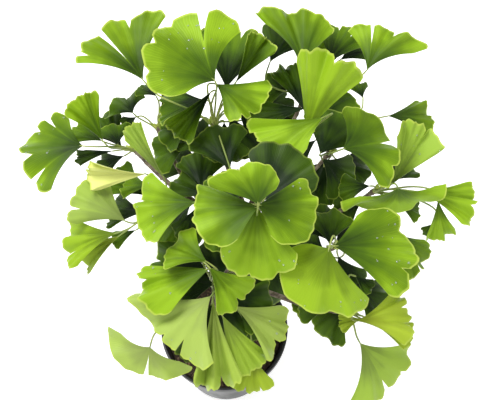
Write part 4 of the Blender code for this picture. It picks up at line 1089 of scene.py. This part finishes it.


# The leaf's colour follows its light from 0, the deepest shade, to 1, the brightest lime: the
# leaf's own tone with painted light and shade in it
LEAF_STOPS = ((0.0, (0.006, 0.020, 0.001)), (0.45, (0.060, 0.125, 0.002)),
              (0.75, (0.125, 0.225, 0.003)), (1.0, (0.250, 0.415, 0.013)))
LEAF_PALE = (0.440, 0.520, 0.165)
LEAF_CREAM = (0.760, 0.800, 0.240)
LEAF_YELLOW = (0.440, 0.490, 0.045)
LEAF_EDGE = (0.420, 0.530, 0.075)
VEINS_PER_FAN = 34
FINE_VEIN_SHARE = 0.8
VEIN_LIGHT = 0.07
# Painted light and shade in soft darker and lighter pools over the leaves
PAINTED_SHADE_POOLS = 0.62
# Painted shade along the folds, in streaks from the foot to the margin
FOLD_SHADES_PER_FAN = 7.0
PAINTED_FOLD_SHADE = 0.6
# Darker foot, lighter margin: partly the blade's own colour, partly painted shade near the hub
FOOT_TONE_AND_SHADE, MARGIN_TONE_AND_LIGHT = -0.42, 0.13
UNDERSIDE_PALENESS = 0.22
# Painted shade: a leaf's light is the shade value plus the sky value times the sky it sees
SHADE_LIGHT, SKY_LIGHT = 0.05, 0.69
SKY_DIRECTIONS = [Vector(unit(np.array(v))) for v in (
    (0, 0, 1), (0, -0.5, 0.9), (0.5, 0, 0.9), (-0.5, 0, 0.9), (0, 0.5, 0.9),
    (0.3, -0.8, 0.6), (-0.3, -0.8, 0.6))]


def put(tree, value, socket):
    """Links a socket, or sets a number or a colour."""
    if isinstance(value, bpy.types.NodeSocket):
        tree.links.new(value, socket)
    else:
        socket.default_value = (*value, 1.0) if isinstance(value, tuple) else value


def calculated(tree, operation, first, second):
    node = add_node(tree, "ShaderNodeMath", operation=operation)
    put(tree, first, node.inputs[0])
    put(tree, second, node.inputs[1])
    return node.outputs[0]


def blend_colours(tree, share, first, second):
    """Mixes two colours or colour sockets by a share."""
    node = add_node(tree, "ShaderNodeMix", data_type="RGBA")
    for value, index in ((share, 0), (first, 6), (second, 7)):
        put(tree, value, node.inputs[index])
    return node.outputs[2]


def stepped(tree, value, low, high, low_result=0.0, high_result=1.0):
    """A soft step from one result to another as the value goes from low to high."""
    node = add_node(tree, "ShaderNodeMapRange", interpolation_type="SMOOTHSTEP", From_Min=low,
                    From_Max=high, To_Min=low_result, To_Max=high_result)
    tree.links.new(value, node.inputs["Value"])
    return node.outputs["Result"]


def vein_lines(tree, fan, count, width):
    """Thin lines that run from the blade's foot to its margin, at this many to the fan."""
    scaled = calculated(tree, "MULTIPLY", fan, count)
    return stepped(tree, calculated(tree, "PINGPONG", scaled, 0.5), width, 0.0)


def fold_shade_noise(tree, across, along, own):
    """Noise drawn out from the foot to the margin, different on every leaf, for painted fold shade.
    """
    place = add_node(tree, "ShaderNodeCombineXYZ")
    noise = add_node(tree, "ShaderNodeTexNoise", Scale=1.0, Detail=2.0)
    put(tree, calculated(tree, "MULTIPLY", across, FOLD_SHADES_PER_FAN), place.inputs["X"])
    put(tree, along, place.inputs["Y"])
    put(tree, calculated(tree, "MULTIPLY", own, 20.0), place.inputs["Z"])
    put(tree, place.outputs["Vector"], noise.inputs["Vector"])
    return noise.outputs[0]


def leaf_finish():
    """Satin leaf: pools and fold streaks of painted shade, a foot darker partly in its own colour
    and partly by painted shade, forked veins, a thin pale edge, a paler underside.
    """
    material, tree, shader = new_finish("leaf_finish", 0.42)
    shader.inputs["Specular IOR Level"].default_value = 0.15
    fan = add_node(tree, "ShaderNodeUVMap", uv_map="fan")
    parts = add_node(tree, "ShaderNodeSeparateXYZ")
    tree.links.new(fan.outputs["UV"], parts.inputs[0])
    across, along = parts.outputs[0], parts.outputs[1]
    # Per-leaf light, which holds painted light and shade, then pale and yellow shares and the
    # leaf's own number
    tone_and_shade = add_node(tree, "ShaderNodeAttribute", attribute_name="leaf_tone_and_shade")
    shares = add_node(tree, "ShaderNodeSeparateColor")
    tree.links.new(tone_and_shade.outputs["Color"], shares.inputs[0])
    lightness_and_shade, pale, yellow = shares.outputs
    under = add_node(tree, "ShaderNodeAttribute", attribute_name="underside").outputs["Fac"]

    wander = calculated(tree, "MULTIPLY", object_noise(tree, 70.0, 2.0), 0.02)
    waved = calculated(tree, "ADD", across, wander)
    coarse = vein_lines(tree, waved, VEINS_PER_FAN, 0.16)
    fine = vein_lines(tree, waved, 2 * VEINS_PER_FAN, 0.2)
    fine = calculated(tree, "MULTIPLY", fine, stepped(tree, along, 0.35, 0.6))
    fine = calculated(tree, "MULTIPLY", fine, FINE_VEIN_SHARE)
    veins = calculated(tree, "MAXIMUM", coarse, fine)

    light = lightness_and_shade
    # Painted light and shade: soft pools, then streaks along the folds
    for noise, share in ((object_noise(tree, 38.0, 2.0), PAINTED_SHADE_POOLS),
                         (fold_shade_noise(tree, across, along, tone_and_shade.outputs["Alpha"]), PAINTED_FOLD_SHADE)):
        level = calculated(tree, "MULTIPLY", calculated(tree, "SUBTRACT", noise, 0.5), share)
        light = calculated(tree, "ADD", light, level)
    # Darker by the foot: partly the blade's own colour, partly painted shade near the hub
    outward = stepped(tree, along, 0.08, 0.92, FOOT_TONE_AND_SHADE, MARGIN_TONE_AND_LIGHT)
    light = calculated(tree, "ADD", light, outward)
    light = calculated(tree, "ADD", light, calculated(tree, "MULTIPLY", veins, VEIN_LIGHT))

    green = ramp(tree, light, LEAF_STOPS)
    green = blend_colours(tree, yellow, green, LEAF_YELLOW)
    # Pale and cream: partly the leaf's own paler colour, partly a painted sheen; the underside is
    # paler too
    underside = calculated(tree, "MULTIPLY", under, UNDERSIDE_PALENESS)
    green = blend_colours(tree, calculated(tree, "MAXIMUM", pale, underside), green, LEAF_PALE)
    green = blend_colours(tree, stepped(tree, pale, 0.7, 1.0), green, LEAF_CREAM)
    # The thin pale edge shows more on lighter leaves, so it also follows the painted light
    rim = calculated(tree, "MULTIPLY", stepped(tree, along, 0.96, 0.988),
                     stepped(tree, light, 0.05, 0.9, 0.15, 0.85))
    tree.links.new(blend_colours(tree, rim, green, LEAF_EDGE), shader.inputs["Base Color"])
    grain = calculated(tree, "MULTIPLY", object_noise(tree, 900.0, 2.0), 0.25)
    bump(tree, shader, calculated(tree, "SUBTRACT", grain, veins), 0.12, 0.7)
    return material


def stalk_tree(finish):
    """Turns each stalk's line into a round stalk as thick as the line's radius says."""
    sizes = {"Sides": ("NodeSocketInt", 8), "Thickness": ("NodeSocketFloat", 1.0)}
    tree, given, result = new_geometry_tree("leaf_stalks", sizes)
    ring = add_node(tree, "GeometryNodeCurvePrimitiveCircle")
    skin = add_node(tree, "GeometryNodeCurveToMesh", Fill_Caps=True)
    radius = add_node(tree, "GeometryNodeInputRadius")
    tree.links.new(given.outputs["Sides"], ring.inputs["Resolution"])
    tree.links.new(given.outputs["Thickness"], ring.inputs["Radius"])
    tree.links.new(ring.outputs["Curve"], skin.inputs["Profile Curve"])
    tree.links.new(radius.outputs["Radius"], skin.inputs["Scale"])
    pass_on(tree, given, skin, add_node(tree, "GeometryNodeSetShadeSmooth"),
            add_node(tree, "GeometryNodeRealizeInstances"),
            add_node(tree, "GeometryNodeSetMaterial", Material=finish), result)
    return tree


def stalk_curves(name, lines):
    """One curve object with a line for each stalk, its radii in metres."""
    data = bpy.data.curves.new(name, "CURVE")
    data.dimensions = "3D"
    for line in lines:
        close = smooth_line(line, 4)
        radii = np.interp(np.linspace(0, 1, len(close)), *STALK_TAPER) * PETIOLE_RADIUS
        spline = data.splines.new("POLY")
        spline.points.add(len(close) - 1)
        spline.points.foreach_set("co", np.hstack((close * MM, np.ones((len(close), 1)))).ravel())
        spline.points.foreach_set("radius", radii * MM)
    return new_piece(name, data)


finished_leaves = clear_blades(settle_leaves())
blade_trees = [slab_tree(blade_grid(leaf_), BLADE_THICKNESS)[0]
               for _, leaf_, _, _ in finished_leaves]


def skyward(leaf_):
    """Share of sky a blade sees past the others, which sets the painted shade of the lower ones."""
    middle = blade_surface(leaf_, np.array((-0.4, 0.0, 0.4)), np.array((0.7, 0.6, 0.7)), fine=True)
    clear = []
    for point in middle:
        for toward in SKY_DIRECTIONS:
            start = Vector(point) + toward * 4.0
            clear.append(all(tree.ray_cast(start, toward, 150.0)[0] is None
                             for tree in blade_trees))
    return sum(clear) / len(clear)


leaf_coat = leaf_finish()
stalk_maker = stalk_tree(mottled_finish(
    "leaf_stalk_finish", 0.45, (60.0, 2.0),
    ((0.35, (0.14, 0.21, 0.03)), (0.65, (0.34, 0.40, 0.09)))))
dressed = []
for name, spray_ in SPRAYS.items():
    tones_and_shade, lines, sheets = [], [], []
    for leaf_, line, sheet in [entry[1:] for entry in finished_leaves if entry[0] == name]:
        dressed.append(leaf_)
        # A leaf's listed light, or else painted shade from the sky it sees, goes into its colour
        light = leaf_.light
        if light is None:
            light = SHADE_LIGHT + SKY_LIGHT * skyward(leaf_) ** 1.6
        tones_and_shade.append((light, leaf_.pale, leaf_.yellow, 0.37 * len(dressed) % 1))
        end = blade_surface(leaf_, np.zeros(1), np.full(1, STALK_END), fine=True)
        lines.append(np.vstack((line[:-1], end)))
        sheets.append(sheet)
    counts = [len(sheet[0]) for sheet in sheets]
    firsts = np.cumsum([0] + counts)
    points, fan, under = (np.concatenate([sheet[part] for sheet in sheets]) for part in (0, 2, 3))
    faces = np.concatenate([sheet[1] + first for sheet, first in zip(sheets, firsts)])
    blades = smooth_piece(name.replace("_spray", "_blades"), points, faces.tolist(), leaf_coat)
    fan_map = blades.data.uv_layers.new(name="fan")
    fan_map.data.foreach_set("uv", fan[faces.ravel()].ravel())
    tone_and_shade_layer = blades.data.color_attributes.new("leaf_tone_and_shade", "FLOAT_COLOR", "POINT")
    tone_and_shade_layer.data.foreach_set("color", np.repeat(tones_and_shade, counts, axis=0).ravel())
    under_layer = blades.data.attributes.new("underside", "FLOAT", "POINT")
    under_layer.data.foreach_set("value", under)
    blades.data.set_sharp_from_angle(angle=math.radians(60))
    finish_piece(blades, [name])

    stalks = stalk_curves(name.replace("_spray", "_stalks"), lines)
    stalk_skin = stalks.modifiers.new("Stalks", "NODES")
    stalk_skin.node_group = stalk_maker
    set_inputs(stalk_skin, {"Sides": STALK_SIDES, "Thickness": 1.0})
    finish_piece(made_plain(stalks))


# Spurs
# The leaves stand on short woody spurs at the ends of the branches. Each spur is thickened at its
# end and ringed by the scars of earlier years' leaves.
SPUR_PLACES = np.array((0.3, 5.0, TWIG_LENGTH - 7.0, TWIG_LENGTH - 3.0, TWIG_LENGTH + 1.5))
SPUR_RADII = (BRANCH_END_RADIUS, BRANCH_END_RADIUS, 2.0, 2.7, 1.8)
SPUR_SIDES, SPUR_ROUGHNESS = 16, 0.03
SCAR_HEIGHT = 0.22

spur_bars = []
for spray_ in SPRAYS.values():
    joint, direction = twig_line(spray_)
    line, radii = finer(joint + SPUR_PLACES[:, None] * direction, SPUR_RADII, 6)
    scarred = np.linspace(0, 1, len(line)) > 0.3
    scars = SCAR_HEIGHT * np.sin(np.linspace(0, 40, len(line))) * scarred
    spur_bars.append((line, radii + scars, SPUR_SIDES, SPUR_ROUGHNESS))
finish_piece(smooth_piece("spurs", *barked_bars(spur_bars), bark_finish))


# Young leaves and buds
# New growth at the spurs: small pale leaves that are still rolled up, and pointed bud scales. They
# are soft and yellow-green, and grow from the woody end of each spur.
SHOOTS_PER_SPUR = 6
SHOOT_LENGTHS = (3.0, 6.5)
SHOOT_LEAN = 0.9
SHOOT_SIDES = 10
SHOOT_PLACES = np.array((0.0, 0.3, 0.65, 0.9, 1.0))
SHOOT_RADII = np.array((0.7, 1.25, 1.3, 0.75, 0.2))

shoot_draws = np.random.default_rng(11)
shoot_bars = []
for spray_ in SPRAYS.values():
    joint, direction = twig_line(spray_)
    head = joint + (TWIG_LENGTH + 0.5) * direction
    first_side = unit(np.cross(direction, VIEW_AHEAD))
    second_side = np.cross(direction, first_side)
    for number in range(SHOOTS_PER_SPUR):
        turn = math.tau * (number + 0.5 * shoot_draws.random()) / SHOOTS_PER_SPUR
        outward = math.cos(turn) * first_side + math.sin(turn) * second_side
        heading = unit(direction + SHOOT_LEAN * shoot_draws.uniform(0.5, 1.3) * outward)
        reach = shoot_draws.uniform(*SHOOT_LENGTHS)
        shares = SHOOT_PLACES[:, None]
        curl = 0.25 * reach * shares ** 2 * (direction - 0.5 * outward)
        line = head + 0.8 * outward + reach * shares * heading + curl
        shoot_bars.append((*finer(line, SHOOT_RADII * (0.7 + 0.06 * reach), 3), SHOOT_SIDES, 0.0))
young_finish = mottled_finish(
    "young_leaf_finish", 0.4, (160.0, 2.0, (1.0, 1.0, 0.3)),
    ((0.3, (0.24, 0.36, 0.02)), (0.7, (0.58, 0.64, 0.13))),
    0.1, 0.6, relief=(1400.0, 2.0, (1.0, 1.0, 0.2)))
young_leaves = smooth_piece("young_leaves", *barked_bars(shoot_bars), young_finish)
finish_piece(young_leaves)


# Water drops
# The plant was just misted: small drops of clear water stand on some of the upper blades, mostly
# toward the margin. They are scattered over those blades with a fixed seed.
DROPS_PER_SQUARE_METRE = 4500.0
DROP_SIZES = (0.4, 1.1)
DROP_SHAPE = (1.0, 1.0, 0.62)
DROP_SEED = 3
DROP_HEIGHT = 0.32
WET_ROWS = np.linspace(0.55, 0.97, 8)
WET_COLUMNS = np.linspace(-0.95, 0.95, 24)


def water():
    material, tree, shader = new_finish("water_drop", 0.04)
    shader.inputs["Base Color"].default_value = (0.93, 1.0, 0.88, 1.0)
    shader.inputs["Transmission Weight"].default_value = 0.8
    shader.inputs["IOR"].default_value = 1.45
    return material


wet_points, wet_faces = [], []
for leaf_ in dressed:
    if leaf_.wet:
        along, across = np.meshgrid(WET_ROWS, WET_COLUMNS, indexing="ij")
        grid = blade_surface(leaf_, across, along, fine=True)
        wet_faces.append(grid_faces(*along.shape) + len(wet_points) * along.size)
        wet_points.append((grid + DROP_HEIGHT * grid_normals(grid)).reshape(-1, 3))
water_drops = mesh_piece("water_drops", np.concatenate(wet_points),
                         np.concatenate(wet_faces).tolist())
water_drops = scattered(
    water_drops, scatter_tree("water_drops", water(), 2, DROP_SHAPE, DROP_SHAPE, standing=True),
    DROPS_PER_SQUARE_METRE, DROP_SIZES, DROP_SEED)
finish_piece(water_drops)


# Studio
# A pale floor and large soft lights, as for a cut-out picture on white.
FLOOR_WHITE = (0.93, 0.93, 0.93, 1.0)
FLOOR_GLOW = 0.45
FLOOR_HALF_WIDTH = 3.0  # metres
CROWN_MIDDLE = (0.02, 0.03, 0.25)  # metres
WHITE = (1.0, 1.0, 1.0, 1.0)
AIR_STRENGTH = 0.75

floor_mesh = bpy.data.meshes.new("floor")
square = bmesh.new()
bmesh.ops.create_grid(square, x_segments=1, y_segments=1, size=FLOOR_HALF_WIDTH)
square.to_mesh(floor_mesh)
square.free()
floor_finish, _, floor_shader = new_finish("floor_finish", 0.9)
floor_shader.inputs["Base Color"].default_value = FLOOR_WHITE
floor_shader.inputs["Emission Color"].default_value = WHITE
floor_shader.inputs["Emission Strength"].default_value = FLOOR_GLOW
floor_mesh.materials.append(floor_finish)
floor = new_piece("floor", floor_mesh)


def soft_light(name, place, size, watts):
    """A square light that faces the middle of the crown; its place and size are in metres."""
    data = bpy.data.lights.new(name, "AREA")
    data.shape = "SQUARE"
    data.size = size
    data.energy = watts
    thing = new_piece(name, data)
    thing.location = place
    aim = Vector(CROWN_MIDDLE) - Vector(place)
    thing.rotation_euler = aim.to_track_quat("-Z", "Y").to_euler()


soft_light("key_light", (-0.7, 0.5, 1.7), 0.8, 26.0)
soft_light("fill_light", (0.9, -0.9, 1.5), 1.4, 9.0)
world = bpy.data.worlds.new("studio_air")
world.use_nodes = True
air = world.node_tree.nodes["Background"]
air.inputs["Color"].default_value = WHITE
air.inputs["Strength"].default_value = AIR_STRENGTH
bpy.context.scene.world = world
bpy.context.scene.view_settings.view_transform = "Standard"
bpy.context.scene.view_settings.look = "None"
